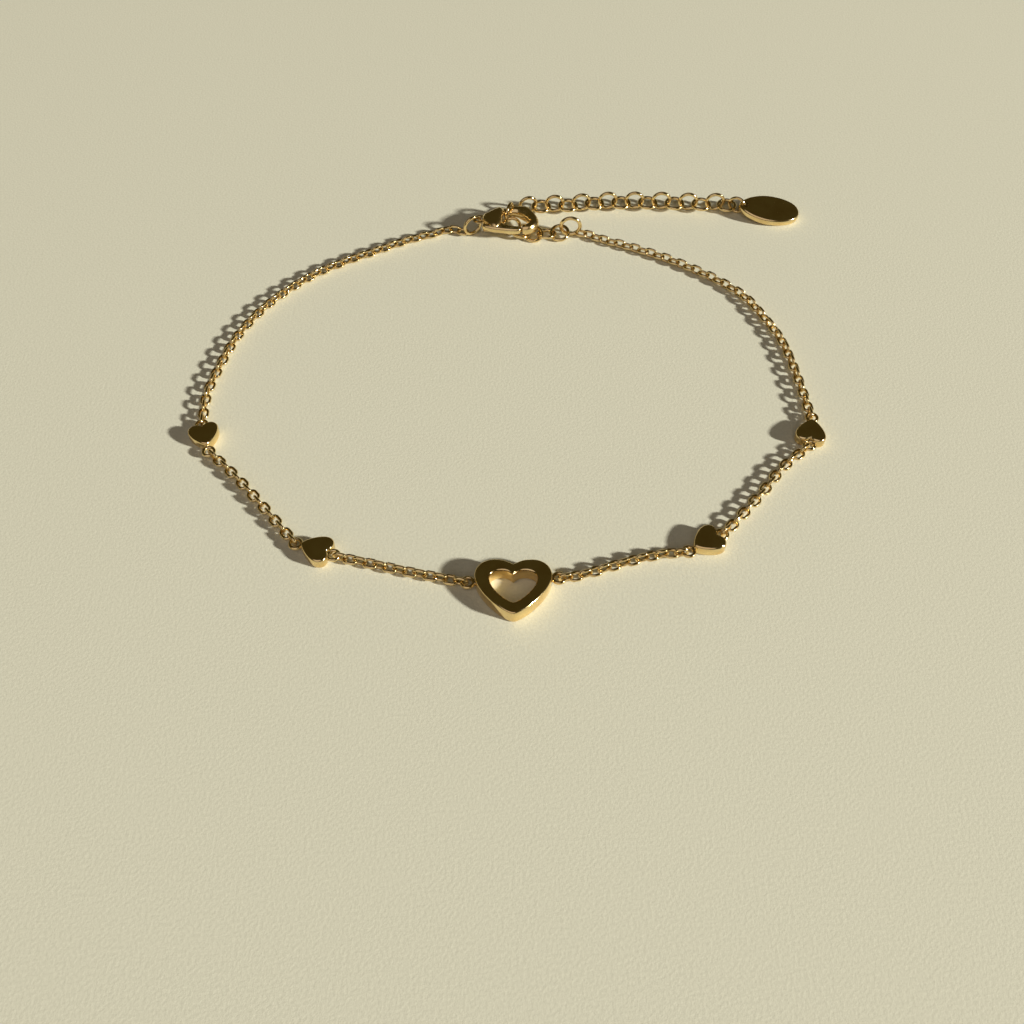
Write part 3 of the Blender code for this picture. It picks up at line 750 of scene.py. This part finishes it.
@dataclass
class Heart(Maker):
    """A heart cut from plate, lying flat, with an eye soldered at two places."""

    node: str
    place: HeartPlace
    width: float
    top: float
    cleft: float
    tip: float
    thickness: float
    eyes: Sequence[Vector]
    rim: float = 0.26 * MM
    lobe_share: float = 0.25
    side_handle: float = 0.42
    cleft_handle: Pair = (0.62, 0.36)
    tip_share: float = 0.12
    steps: int = 20
    eye_sides: tuple[int, int] = (32, 12)
    finish: GoldFinish = POLISHED_GOLD

    def outline(self, width: float, top: float, cleft: float, tip: float,
                shift: float = 0.0) -> list[BezierPoint]:
        """Bezier points of a heart whose cleft looks along +X.

        Args:
            width: across the lobes.
            top: from the widest line to the lobes' tops.
            cleft: from the widest line to the cleft.
            tip: from the widest line to the tip.
            shift: moves the outline along X.

        Returns:
            The closed outline.
        """
        half = width / 2
        lobe = width * self.lobe_share
        share = CIRCLE_HANDLE
        one_side = [
            ((top, lobe), (top, lobe * (1 - share)), (top, lobe + (half - lobe) * share)),
            ((0.0, half), (top * share, half), (-tip * self.side_handle, half)),
        ]
        along, across = self.cleft_handle
        cleft_handle = (cleft + (top - cleft) * along, lobe * across)
        tip_handle = (-tip, width * self.tip_share)
        points = [((cleft, 0.0), (cleft_handle[0], -cleft_handle[1]), cleft_handle)]
        points += one_side
        points.append(((-tip, 0.0), tip_handle, (tip_handle[0], -tip_handle[1])))
        for point, left, right in reversed(one_side):
            points.append(((point[0], -point[1]), (right[0], -right[1]), (left[0], -left[1])))
        return [tuple((x + shift, y) for x, y in group) for group in points]

    def outlines(self) -> list[list[BezierPoint]]:
        """The outlines of the plate."""
        return [self.outline(self.width, self.top, self.cleft, self.tip)]

    def fastening(self, which: int) -> Vector:
        """Where a chain is fastened to one of the eyes, at the chain's height."""
        moved = self.place.matrix() @ self.eyes[which]
        return Vector((moved.x, moved.y, LAYOUT.chain_lift))

    def build(self) -> bpy.types.Object:
        """Cut the plate, round its rims and solder the eyes.

        Returns:
            The heart on the table.
        """
        heart = plate(self.node + "_plate", self.outlines(), self.thickness, self.rim, self.steps)
        heart.data.transform(Matrix.Translation((0.0, 0.0, self.thickness / 2)))
        for spot in self.eyes:
            eye = round_wire(LAYOUT.eye_outer, LAYOUT.eye_wire, *self.eye_sides)
            eye.data.transform(Matrix.Translation((spot.x, spot.y, LAYOUT.eye_height)))
            fuse(heart, eye)
        polish(heart)
        heart.data.transform(self.place.matrix())
        return join(self.node + "_polished", [heart])


@dataclass
class OpenHeart(Heart):
    """The centre heart, a band round a heart-shaped hole."""

    side_band: float = 1.38 * MM
    end_band: float = 1.27 * MM
    hole_drop: float = 0.35 * MM

    def outlines(self) -> list[list[BezierPoint]]:
        """The outer outline and the hole's."""
        hole = self.outline(
            self.width - 2 * self.side_band, self.top - self.end_band + self.hole_drop,
            self.cleft - self.end_band + self.hole_drop,
            self.tip - self.end_band - self.hole_drop, shift=-self.hole_drop)
        return super().outlines() + [hole]


def centre_heart() -> OpenHeart:
    """The open heart with its own sizes."""
    width = 7.20 * MM
    reach = width / 2 + LAYOUT.eye_outer / 2 - LAYOUT.eye_sink
    return OpenHeart(
        node="centre_heart", place=LAYOUT.open_heart, width=width, top=1.74 * MM,
        cleft=1.22 * MM, tip=4.30 * MM, thickness=1.56 * MM, rim=0.20 * MM,
        eyes=(Vector((-0.32 * MM, reach, 0.0)), Vector((0.18 * MM, -reach, 0.0))))


def small_heart(node: str, place: HeartPlace) -> Heart:
    """A small solid heart with an eye in its cleft and one at its tip."""
    cleft = 0.49 * MM
    tip = 2.20 * MM
    reach = LAYOUT.eye_outer / 2 - LAYOUT.eye_sink
    return Heart(
        node=node, place=place, width=3.10 * MM, top=0.81 * MM, cleft=cleft, tip=tip,
        thickness=1.20 * MM,
        eyes=(Vector((cleft + reach, 0.0, 0.0)), Vector((-tip - reach, 0.0, 0.0))))


@dataclass
class FineChain(Maker):
    """A stretch of cable chain, link by link."""

    node: str
    start: Vector
    end: Vector
    chosen: Sequence[Point]
    flat_first: bool = False
    flat_last: bool = False
    roll: float = 0.0
    sides: int = 14
    wire_sides: int = 6
    finish: GoldFinish = DRAWN_GOLD

    def build(self) -> bpy.types.Object:
        """Set the links along the route, each turned a quarter from the last.

        Returns:
            The joined links.
        """
        middle = [Vector((x, y, self.end.z)) for x, y in self.chosen]
        route = Route([self.start] + middle + [self.end])
        alike = self.flat_first == self.flat_last
        if alike:
            gaps = 2 * round((route.length / LAYOUT.chain_pitch - 1) / 2)
        else:
            gaps = 2 * round(route.length / LAYOUT.chain_pitch / 2) - 1
        wire = LAYOUT.chain_wire
        pitch = (route.length - wire + LAYOUT.solder - LAYOUT.gap) / (gaps + 1)
        length = pitch + 2 * wire - LAYOUT.solder
        link = round_wire(LAYOUT.chain_width, wire, self.sides, self.wire_sides,
                          stretch=length - LAYOUT.chain_width)
        places = []
        for index in range(gaps + 1):
            distance = (route.length - gaps * pitch) / 2 + index * pitch
            flat = (index % 2 == 0) == self.flat_first
            drop = LAYOUT.chain_drop if flat else 0.0
            point = route.at(distance) - Vector((0.0, 0.0, drop))
            heading = route.heading(distance, length / 2)
            roll = math.radians(self.roll) * math.sin(math.pi * distance / route.length)
            places.append(wire_place(point, heading, roll + (0.0 if flat else math.pi / 2)))
        return copies(self.node + "_links", link, places)


@dataclass
class StandingRing(Maker):
    """A jump ring on edge on the table."""

    node: str
    size: RingSize
    at: Point
    sides: int = 48
    wire_sides: int = 14
    finish: GoldFinish = DRAWN_GOLD

    def build(self) -> bpy.types.Object:
        """Stand the ring up.

        Returns:
            The ring on the table.
        """
        ring = round_wire(self.size.outer, self.size.wire, self.sides, self.wire_sides)
        place = wire_place(Vector((*self.at, self.size.outer / 2)),
                           heading_vector(self.size.heading), math.pi / 2)
        return copies(self.node + "_wire", ring, [place])


@dataclass
class Extender(Maker):
    """Round links from the end ring, over the one that the clasp holds, to the drop."""

    front: Sequence[Point]
    back: Sequence[Point]
    node: str = "extender_chain"
    sides: int = 30
    lying_share: float = 0.576
    hung_share: float = 0.62
    hung_turn: float = math.radians(-20.0)
    under_rise: float = 0.25
    end_rise: float = 0.35
    end_aside: float = 0.3 * MM
    raised_share: float = 0.86
    finish: GoldFinish = DRAWN_GOLD

    @property
    def radius(self) -> float:
        """Radius of a link's wire middle."""
        return (LAYOUT.extender_outer - LAYOUT.extender_wire) / 2

    @property
    def touching(self) -> float:
        """Distance of a wire from the middle of the link that it touches inside."""
        return self.radius - LAYOUT.extender_wire + LAYOUT.solder

    def flat_drop(self, pitch: float) -> float:
        """How far a flat link sits below the middle of the upright ones beside it."""
        return math.sqrt(max(self.touching ** 2 - (pitch - self.radius) ** 2, 0.0))

    @property
    def last_drop(self) -> float:
        """How far the last link sits below the upright ones to lie in the drop's ring."""
        height = LAYOUT.tag_ring.outer / 2 - LAYOUT.last_link_share * LAYOUT.room_in_tag_ring
        return LAYOUT.extender_outer / 2 - height

    @property
    def last_gap(self) -> float:
        """Distance from the last upright link to the flat one in the drop's ring."""
        return self.radius + math.sqrt(self.touching ** 2 - self.last_drop ** 2)

    def back_places(self) -> list[Matrix]:
        """Links from the caught one to the drop, every second one flat.

        Returns:
            One matrix for each link.
        """
        caught = LAYOUT.caught_link()
        end = Vector((*LAYOUT.last_link_at, LAYOUT.extender_outer / 2))
        middle = [Vector((x, y, end.z)) for x, y in self.back]
        route = Route([caught] + middle + [end])
        gaps = 2 * round((route.length / LAYOUT.extender_pitch - 1) / 2) + 1
        pitch = (route.length - self.last_gap) / (gaps - 1)
        places = []
        for index in range(gaps + 1):
            last = index == gaps
            distance = route.length if last else index * pitch
            drop = Vector((0.0, 0.0, self.last_drop if last else self.flat_drop(pitch)))
            flat = index % 2 == 1
            heading = route.heading(distance, pitch)
            if index == 0:
                heading = Matrix.Rotation(LAYOUT.catch_turn, 3, "Z") @ Vector((0.0, 1.0, 0.0))
            point = route.at(distance) - (drop if flat else Vector())
            places.append(wire_place(point, heading, 0.0 if flat else math.pi / 2))
        return places

    def front_places(self) -> list[Matrix]:
        """Links that lie under the clasp, leaning left and right in turn.

        Returns:
            One matrix for each link.
        """
        side = math.sqrt(self.radius ** 2 - (LAYOUT.extender_pitch / 2) ** 2)
        lean = math.atan((LAYOUT.extender_wire - LAYOUT.solder) / (2 * side))
        lying = LAYOUT.extender_wire * self.lying_share + self.radius * math.sin(lean)
        caught = LAYOUT.caught_link()
        hung = self.hung_share * self.touching
        chosen = [Vector((x, y, lying)) for x, y in self.front]
        away = (chosen[0] - caught).to_2d().normalized()
        away = Matrix.Rotation(self.hung_turn, 2) @ away
        start = Vector((*(caught.to_2d() + away * hung), 0.0))
        start.z = caught.z - math.sqrt(self.touching ** 2 - hung ** 2)
        ring = LAYOUT.end_ring
        inside = ring.radius - ring.wire / 2 - LAYOUT.extender_wire / 2 - LAYOUT.gap
        raised = self.raised_share * inside
        end = Vector((LAYOUT.end_ring_at[0] - math.sqrt(inside ** 2 - raised ** 2),
                      LAYOUT.end_ring_at[1], ring.outer / 2 - raised))
        under = start + Vector((*(away * self.radius), 0.0))
        under.z = lying + (start.z - lying) * self.under_rise
        before_end = Vector((end.x - self.radius, end.y - self.end_aside,
                             lying + (end.z - lying) * self.end_rise))
        route = Route([start, under] + chosen + [before_end, end])
        room = route.length - 2 * self.radius
        gaps = round(room / LAYOUT.extender_pitch)
        places = []
        for index in range(gaps + 1):
            distance = self.radius + room * index / gaps
            roll = lean if index % 2 == 0 else -lean
            places.append(
                wire_place(route.at(distance), route.heading(distance, self.radius), roll))
        return places

    def last_link(self) -> Vector:
        """Middle of the last link, which the drop's ring goes through."""
        return self.back_places()[-1].translation

    def build(self) -> bpy.types.Object:
        """Set every link.

        Returns:
            The joined links.
        """
        link = round_wire(LAYOUT.extender_outer, LAYOUT.extender_wire, self.sides,
                          LAYOUT.extender_wire_sides)
        return copies(self.node + "_links", link, self.front_places()[::-1] + self.back_places())


@dataclass
class LeafDrop(Maker):
    """The smooth leaf at the extender's end, hung on its ring."""

    ring_middle: Vector
    node: str = "end_tag"
    length: float = 7.40 * MM
    width: float = 4.30 * MM
    thickness: float = 0.95 * MM
    rim: float = 0.32 * MM
    nose_half: float = 1.00 * MM
    widest_share: float = 0.50
    near_handle: float = 0.55
    far_handle: float = 1.55
    end_handle: float = 0.66
    steps: int = 24
    hole_sides: int = 36
    heading: float = math.radians(-6.0)
    hole_radius: float = 0.39 * MM
    hole_rim: float = 0.35 * MM
    hang_share: float = 0.125
    lift: float = 0.65 * MM
    roll: float = math.radians(8.0)
    finish: GoldFinish = POLISHED_GOLD

    def build(self) -> bpy.types.Object:
        """Cut the leaf, drill it and lean it on the table.

        Returns:
            The leaf in its place.
        """
        half = self.width / 2
        widest = self.length * self.widest_share
        near = widest * self.near_handle
        far = widest * self.far_handle
        end = half * self.end_handle
        nose = self.hole_radius + self.hole_rim
        outline = [
            ((0.0, 0.0), (0.0, -self.nose_half), (0.0, self.nose_half)),
            ((widest, half), (near, half), (far, half)),
            ((self.length, 0.0), (self.length, end), (self.length, -end)),
            ((widest, -half), (far, -half), (near, -half)),
        ]
        leaf = plate(self.node + "_leaf", [outline], self.thickness, self.rim, self.steps)
        cut(leaf, round_bar(self.hole_radius, 2 * self.thickness, (nose, 0.0, 0.0),
                            self.hole_sides))
        polish(leaf)
        slope = math.asin(self.lift / self.length)
        lean = Matrix.Rotation(slope, 4, "Y") @ Matrix.Rotation(self.roll, 4, "X")
        leaf.data.transform(lean)
        lowest = min(vertex.co.z for vertex in leaf.data.vertices)
        height = (lean @ Vector((nose, 0.0, 0.0))).z - lowest - self.ring_middle.z
        ring = LAYOUT.tag_ring
        reach = math.sqrt(ring.radius ** 2 - height ** 2) + ring.wire * self.hang_share
        hole_at = self.ring_middle + heading_vector(ring.heading) * reach
        start = hole_at - heading_vector(self.heading) * nose
        leaf.data.transform(Matrix.Translation((start.x, start.y, -lowest))
                            @ Matrix.Rotation(self.heading, 4, "Z"))
        return leaf


def drop_ring(extender: Extender) -> StandingRing:
    """The ring between the extender's last, flat link and the drop."""
    last = extender.last_link()
    ring = LAYOUT.tag_ring
    below = ring.outer / 2 - last.z
    reach = extender.radius + math.sqrt(LAYOUT.room_in_tag_ring ** 2 - below ** 2)
    place = last + heading_vector(ring.heading) * reach
    return StandingRing("tag_ring", ring, (place.x, place.y))


@dataclass
class LobsterClasp:
    """Housing, hook and eye cast as one, and the sprung lever on its pin."""

    thickness: float = 1.78 * MM
    rim: float = 0.48 * MM
    steps: int = 12
    dome: float = 0.50
    dome_middle: Point = (-0.235, 0.045)
    dome_reach: Pair = (0.230, 0.56)
    dome_end: float = 0.02
    dome_fade: float = 0.8 * MM
    smoothing: int = 12
    smoothing_share: float = 0.5
    shading_angle: float = 60.0
    hook_points: int = 48
    tall: Triple = (0.085, 0.180, 0.25)
    eye_outer: float = 1.68 * MM
    eye_wire: float = 0.44 * MM
    eye_sides: tuple[int, int] = (40, 14)
    lever_thickness: float = 0.85 * MM
    lever_rim: float = 0.34 * MM
    lever_play: float = 0.12 * MM
    pin_radius: float = 0.25 * MM
    bore_play: float = 0.08 * MM
    slot_back: float = 0.030
    slot_left: float = -0.318
    pivot: Point = (-0.215, -0.220)
    hook: Sequence[Triple] = (
        (-0.240, 0.300, 0.60), (-0.152, 0.425, 0.66), LAYOUT.catch_at, (0.063, 0.500, 0.82),
        (0.185, 0.435, 0.88), (0.290, 0.265, 0.78), (0.362, 0.040, 0.68),
        (0.345, -0.140, 0.68), (0.285, -0.258, 0.66), (0.205, -0.292, 0.56),
    )
    housing: Sequence[Point] = (
        (-0.420, 0.110), (-0.345, 0.225), (-0.265, 0.405), (-0.190, 0.520), (-0.128, 0.380),
        (-0.130, 0.000), (-0.135, -0.290), (-0.190, -0.420), (-0.270, -0.370),
        (-0.345, -0.240), (-0.420, -0.110),
    )
    lever: Sequence[Point] = (
        (-0.262, -0.085), (-0.190, -0.050), (-0.120, -0.150), (0.040, -0.240),
        (0.187, -0.262), (0.174, -0.415), (0.030, -0.468), (-0.150, -0.460),
        (-0.290, -0.440), (-0.410, -0.325), (-0.300, -0.315),
    )
    voxel: float = 0.045 * MM
    finish: GoldFinish = CAST_GOLD

    def outline(self, shares: Sequence[Point], origin: Vector) -> list[BezierPoint]:
        """A soft outline from shares of the clasp's length and width."""
        points = [tuple((LAYOUT.on_clasp(*row) - origin).to_2d()) for row in shares]
        return soft_outline(points)

    def hook_wire(self) -> bpy.types.Object:
        """The hook, a bar that is thicker and taller round its bend.

        Returns:
            The hook in the clasp's own frame.
        """
        spots = [LAYOUT.on_clasp(along, across) + Vector((0.0, 0.0, share * LAYOUT.hook_radius))
                 for along, across, share in self.hook]
        route = Route(spots)
        count = self.hook_points
        samples = [route.at(route.length * index / (count - 1)) for index in range(count)]
        points = [Vector((sample.x, sample.y, 0.0)) for sample in samples]
        hook = swept_wire("hook", points, [sample.z for sample in samples])
        start, end, taller = self.tall
        for vertex in hook.data.vertices:
            share = (vertex.co.x / LAYOUT.clasp_length - start) / (end - start)
            vertex.co.z *= 1 + taller * min(max(share, 0.0), 1.0)
        return hook

    def round_top(self, body: bpy.types.Object) -> None:
        """Lower the housing's faces towards its edges, so that it is domed like a casting.

        Args:
            body: the cast body in the clasp's own frame.
        """
        middle = LAYOUT.on_clasp(*self.dome_middle)
        reach = LAYOUT.on_clasp(*self.dome_reach)
        end = LAYOUT.clasp_length * self.dome_end
        for vertex in body.data.vertices:
            along = (vertex.co.x - middle.x) / reach.x
            across = (vertex.co.y - middle.y) / reach.y
            away = min(along ** 2 + across ** 2, 1.0)
            inside = min(max((end - vertex.co.x) / self.dome_fade, 0.0), 1.0)
            vertex.co.z *= 1 - self.dome * away * inside

    def build_body(self) -> bpy.types.Object:
        """Cast the housing, hook and eye, then cut the lever's slot.

        Returns:
            The clasp's body in its place.
        """
        body = plate("clasp_cast", [self.outline(self.housing, Vector())], self.thickness,
                     self.rim, self.steps)
        fuse(body, self.hook_wire())
        eye = round_wire(self.eye_outer, self.eye_wire, *self.eye_sides)
        eye.data.transform(Matrix.Translation(LAYOUT.on_clasp(LAYOUT.clasp_eye_along, 0.0)))
        fuse(body, eye)
        half_slot = self.lever_thickness / 2 + self.lever_play
        low = LAYOUT.on_clasp(self.slot_left, -1.0)
        high = LAYOUT.on_clasp(0.0, self.slot_back)
        bpy.ops.mesh.primitive_cube_add(size=1.0)
        slot = bpy.context.view_layer.objects.active
        slot.data.transform(
            Matrix.Translation(((low.x + high.x) / 2, (low.y + high.y) / 2, 0.0))
            @ Matrix.Diagonal((high.x - low.x, high.y - low.y, 2 * half_slot, 1.0)))
        cut(body, slot)
        modify(body, "REMESH", mode="VOXEL", voxel_size=self.voxel)
        self.round_top(body)
        modify(body, "SMOOTH", factor=self.smoothing_share, iterations=self.smoothing)
        pivot = LAYOUT.on_clasp(*self.pivot)
        pin = round_bar(self.pin_radius, self.thickness - self.rim, pivot)
        body = join("clasp_cast", [body, pin])
        smooth(body, self.shading_angle)
        body.data.transform(LAYOUT.clasp_matrix())
        return body

    def build_lever(self) -> bpy.types.Object:
        """Cut the gate with its thumb tab and drill it for the pin.

        Returns:
            The lever in its place.
        """
        pivot = LAYOUT.on_clasp(*self.pivot)
        lever = plate("clasp_gate", [self.outline(self.lever, pivot)], self.lever_thickness,
                      self.lever_rim, self.steps)
        cut(lever, round_bar(self.pin_radius + self.bore_play, 2 * self.lever_thickness))
        polish(lever)
        lever.data.transform(LAYOUT.clasp_matrix() @ Matrix.Translation(pivot))
        return lever

    def deliver(self, finishing: Finishing) -> None:
        """Build both pieces and hand them over."""
        finishing.hand_over(self.build_body(), self.finish, "bracelet", "clasp_body")
        finishing.hand_over(self.build_lever(), self.finish, "clasp_lever", "clasp_lever")


@dataclass(frozen=True)
class FloorFinish:
    """The plain pale floor."""

    tone: Colour = (0.86, 0.85, 0.675)
    roughness: float = 0.85
    roughness_change: float = 0.05
    grain_size: float = 0.28 * MM
    grain_tone: float = 0.80
    bump_strength: float = 0.55
    bump_depth: float = 0.04 * MM

    def material(self) -> bpy.types.Material:
        """Build the floor's material.

        Returns:
            The node material.
        """
        sheet = NodeSheet("pale_floor")
        fine = sheet.noise(sheet.place(), self.grain_size, TONE_DETAIL)
        darker = tuple(channel * self.grain_tone for channel in self.tone)
        sheet.feed(sheet.shader.inputs["Base Color"],
                   sheet.blend(fine, (*darker, 1.0), (*self.tone, 1.0)))
        sheet.feed(sheet.shader.inputs["Roughness"], self.roughness + self.roughness_change * fine)
        sheet.bump(fine, self.bump_strength, self.bump_depth)
        return sheet.material


@dataclass(frozen=True)
class Lamp:
    """A round lamp that looks at the bracelet from this way."""

    name: str
    way: Triple
    distance: float
    size: float
    power: float
    colour: Colour

    def hang(self) -> None:
        """Put the lamp in the scene."""
        light = bpy.data.lights.new(self.name, "AREA")
        light.shape = "DISK"
        light.size = self.size
        light.energy = self.power
        light.color = self.colour
        holder = bpy.data.objects.new(self.name, light)
        direction = Vector(self.way).normalized()
        holder.location = direction * self.distance
        holder.rotation_euler = direction.to_track_quat("Z", "Y").to_euler()
        bpy.context.scene.collection.objects.link(holder)


@dataclass
class Studio:
    """Camera at the photograph's angle, soft lamps and the floor."""

    camera_at: Triple = (-0.00085, -0.08520, 0.0855)
    camera_down: float = 52.0
    focal_pixels: float = 1109.0
    frame_pixels: float = 1024.0
    sensor_millimetres: float = 36.0
    nearest: float = 0.002
    farthest: float = 20.0
    key: Lamp = Lamp("key", (0.865, -0.320, 0.387), distance=6.0, size=0.41, power=576.0,
                     colour=(1.0, 0.97, 0.90))
    fill: Lamp = Lamp("fill", (-0.30, -0.80, 0.90), distance=1.4, size=1.8, power=4.5,
                      colour=(1.0, 0.89, 0.91))
    world_colour: Colour = (0.046, 0.037, 0.013)
    floor_size: float = 3.0
    floor_cells: int = 4

    def build_camera(self) -> None:
        """Set up the camera."""
        camera = bpy.data.cameras.new("camera")
        camera.sensor_width = self.sensor_millimetres
        camera.lens = self.sensor_millimetres * self.focal_pixels / self.frame_pixels
        camera.clip_start = self.nearest
        camera.clip_end = self.farthest
        stand = bpy.data.objects.new("camera", camera)
        stand.location = Vector(self.camera_at) + table_shift()
        stand.rotation_euler = (math.radians(90.0 - self.camera_down), 0.0, 0.0)
        bpy.context.scene.collection.objects.link(stand)
        bpy.context.scene.camera = stand

    def build_lights(self) -> None:
        """Hang the key lamp and the soft fill, and dim the room."""
        self.key.hang()
        self.fill.hang()
        world = bpy.data.worlds.new("room")
        world.use_nodes = True
        background = world.node_tree.nodes["Background"]
        background.inputs["Color"].default_value = (*self.world_colour, 1.0)
        background.inputs["Strength"].default_value = 1.0
        bpy.context.scene.world = world

    def build_floor(self) -> None:
        """Lay the floor."""
        bpy.ops.object.select_all(action="DESELECT")
        bpy.ops.mesh.primitive_grid_add(
            x_subdivisions=self.floor_cells, y_subdivisions=self.floor_cells,
            size=self.floor_size)
        floor = bpy.context.view_layer.objects.active
        floor.name = "floor"
        floor.data.materials.append(FloorFinish().material())

    def build(self) -> None:
        """Build the whole studio."""
        self.build_camera()
        self.build_lights()
        self.build_floor()
        bpy.context.scene.view_settings.view_transform = "Standard"


@dataclass
class Bracelet:
    """The whole bracelet in the order that it is strung."""

    heart_places: dict[str, HeartPlace] = field(default_factory=lambda: {
        "heart_left_back": HeartPlace(-0.03258, -0.00845, 110.0),
        "heart_left_front": HeartPlace(-0.01874, -0.02368, -20.0),
        "heart_right_front": HeartPlace(0.01826, -0.02219, 31.0),
        "heart_right_back": HeartPlace(0.02970, -0.00918, -103.0),
    })
    left_back: Sequence[Point] = (
        (-0.0083, 0.0247), (-0.0103, 0.0239), (-0.0137, 0.0225), (-0.0179, 0.0202),
        (-0.0203, 0.0189), (-0.0244, 0.0160), (-0.0286, 0.0113), (-0.0314, 0.0058),
        (-0.0329, -0.0006), (-0.0332, -0.0036),
    )
    left_side: Sequence[Point] = ((-0.02965, -0.0130), (-0.02715, -0.01575), (-0.02445, -0.0190))
    left_front: Sequence[Point] = ((-0.01425, -0.0249), (-0.0108, -0.0258), (-0.0073, -0.0266))
    right_front: Sequence[Point] = ((0.0058, -0.0262), (0.00955, -0.0249), (0.01305, -0.0239))
    right_side: Sequence[Point] = ((0.0210, -0.0197), (0.02395, -0.0162), (0.02645, -0.0130))
    right_back: Sequence[Point] = (
        (0.03005, -0.0026), (0.02965, 0.0014), (0.02895, 0.0054), (0.02765, 0.0088),
        (0.02595, 0.0123), (0.02345, 0.0150), (0.0205, 0.0173), (0.01705, 0.0195),
        (0.01305, 0.0215), (0.01005, 0.0228), (0.00835, 0.0237),
    )
    extender_front: Sequence[Point] = ((0.00035, 0.0240), (0.00185, 0.0239))
    extender_back: Sequence[Point] = (
        (-0.0004, 0.0279), (0.0013, 0.0286), (0.0035, 0.0288), (0.0067, 0.0290),
        (0.0098, 0.0294), (0.0128, 0.0295), (0.01595, 0.0295), (0.01905, 0.0294),
        (0.02240, 0.0292),
    )

    def ring_side(self, ring: RingSize, middle: Vector, heading: float) -> Vector:
        """Where a chain's first bow lies inside a standing ring's wire.

        Args:
            ring: the ring.
            middle: its middle on the table.
            heading: direction from the middle to the side that holds the chain.

        Returns:
            The point, at the chain's height.
        """
        reach = ring.reach(LAYOUT.chain_lift)
        inner = reach - (ring.wire - LAYOUT.chain_wire) / 2 - LAYOUT.gap
        point = middle + heading_vector(heading) * inner
        return Vector((point.x, point.y, LAYOUT.chain_lift))

    def chains(self, centre: Heart, small: dict[str, Heart]) -> list[FineChain]:
        """The six stretches of fine chain.

        Args:
            centre: the open heart.
            small: the small hearts by name.

        Returns:
            The stretches from the clasp to the end ring, past the centre heart.
        """
        left_back = small["heart_left_back"]
        left_front = small["heart_left_front"]
        right_front = small["heart_right_front"]
        right_back = small["heart_right_back"]
        clasp_side = self.ring_side(LAYOUT.clasp_ring, LAYOUT.clasp_ring_middle(),
                                    LAYOUT.clasp_ring.heading + math.pi)
        end_side = self.ring_side(LAYOUT.end_ring, Vector((*LAYOUT.end_ring_at, 0.0)),
                                  LAYOUT.end_ring.heading)
        return [
            FineChain("chain_left_back", clasp_side, left_back.fastening(0), self.left_back,
                      flat_first=True, roll=-14.0),
            FineChain("chain_left_side", left_back.fastening(1), left_front.fastening(1),
                      self.left_side, roll=12.0),
            FineChain("chain_left_front", left_front.fastening(0), centre.fastening(0),
                      self.left_front),
            FineChain("chain_right_front", centre.fastening(1), right_front.fastening(1),
                      self.right_front),
            FineChain("chain_right_side", right_front.fastening(0), right_back.fastening(0),
                      self.right_side, roll=20.0),
            FineChain("chain_right_back", right_back.fastening(1), end_side, self.right_back,
                      flat_last=True, roll=12.0),
        ]

    def deliver(self, finishing: Finishing) -> None:
        """Build every piece and hand it over."""
        centre = centre_heart()
        small = {node: small_heart(node, place) for node, place in self.heart_places.items()}
        clasp_ring_at = tuple(LAYOUT.clasp_ring_middle().to_2d())
        extender = Extender(self.extender_front, self.extender_back)
        tag_ring = drop_ring(extender)
        leaf = LeafDrop(Vector((*tag_ring.at, tag_ring.size.outer / 2)))
        makers = [centre, *small.values(), *self.chains(centre, small)]
        makers += [
            StandingRing("clasp_ring", LAYOUT.clasp_ring, clasp_ring_at),
            StandingRing("end_ring", LAYOUT.end_ring, LAYOUT.end_ring_at),
            LobsterClasp(),
            extender,
            tag_ring,
            leaf,
        ]
        for maker in makers:
            maker.deliver(finishing)


def dress_frame(finishing: Finishing) -> None:
    """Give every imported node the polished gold."""
    gold = finishing.material(POLISHED_GOLD)
    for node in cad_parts.values():
        for slot in node.material_slots:
            slot.material = gold


def main() -> None:
    """Build the studio and the bracelet."""
    logging.basicConfig(level=logging.INFO, format="%(name)s: %(message)s")
    Studio().build()
    finishing = Finishing()
    dress_frame(finishing)
    Bracelet().deliver(finishing)


if __name__ == "__main__":
    main()
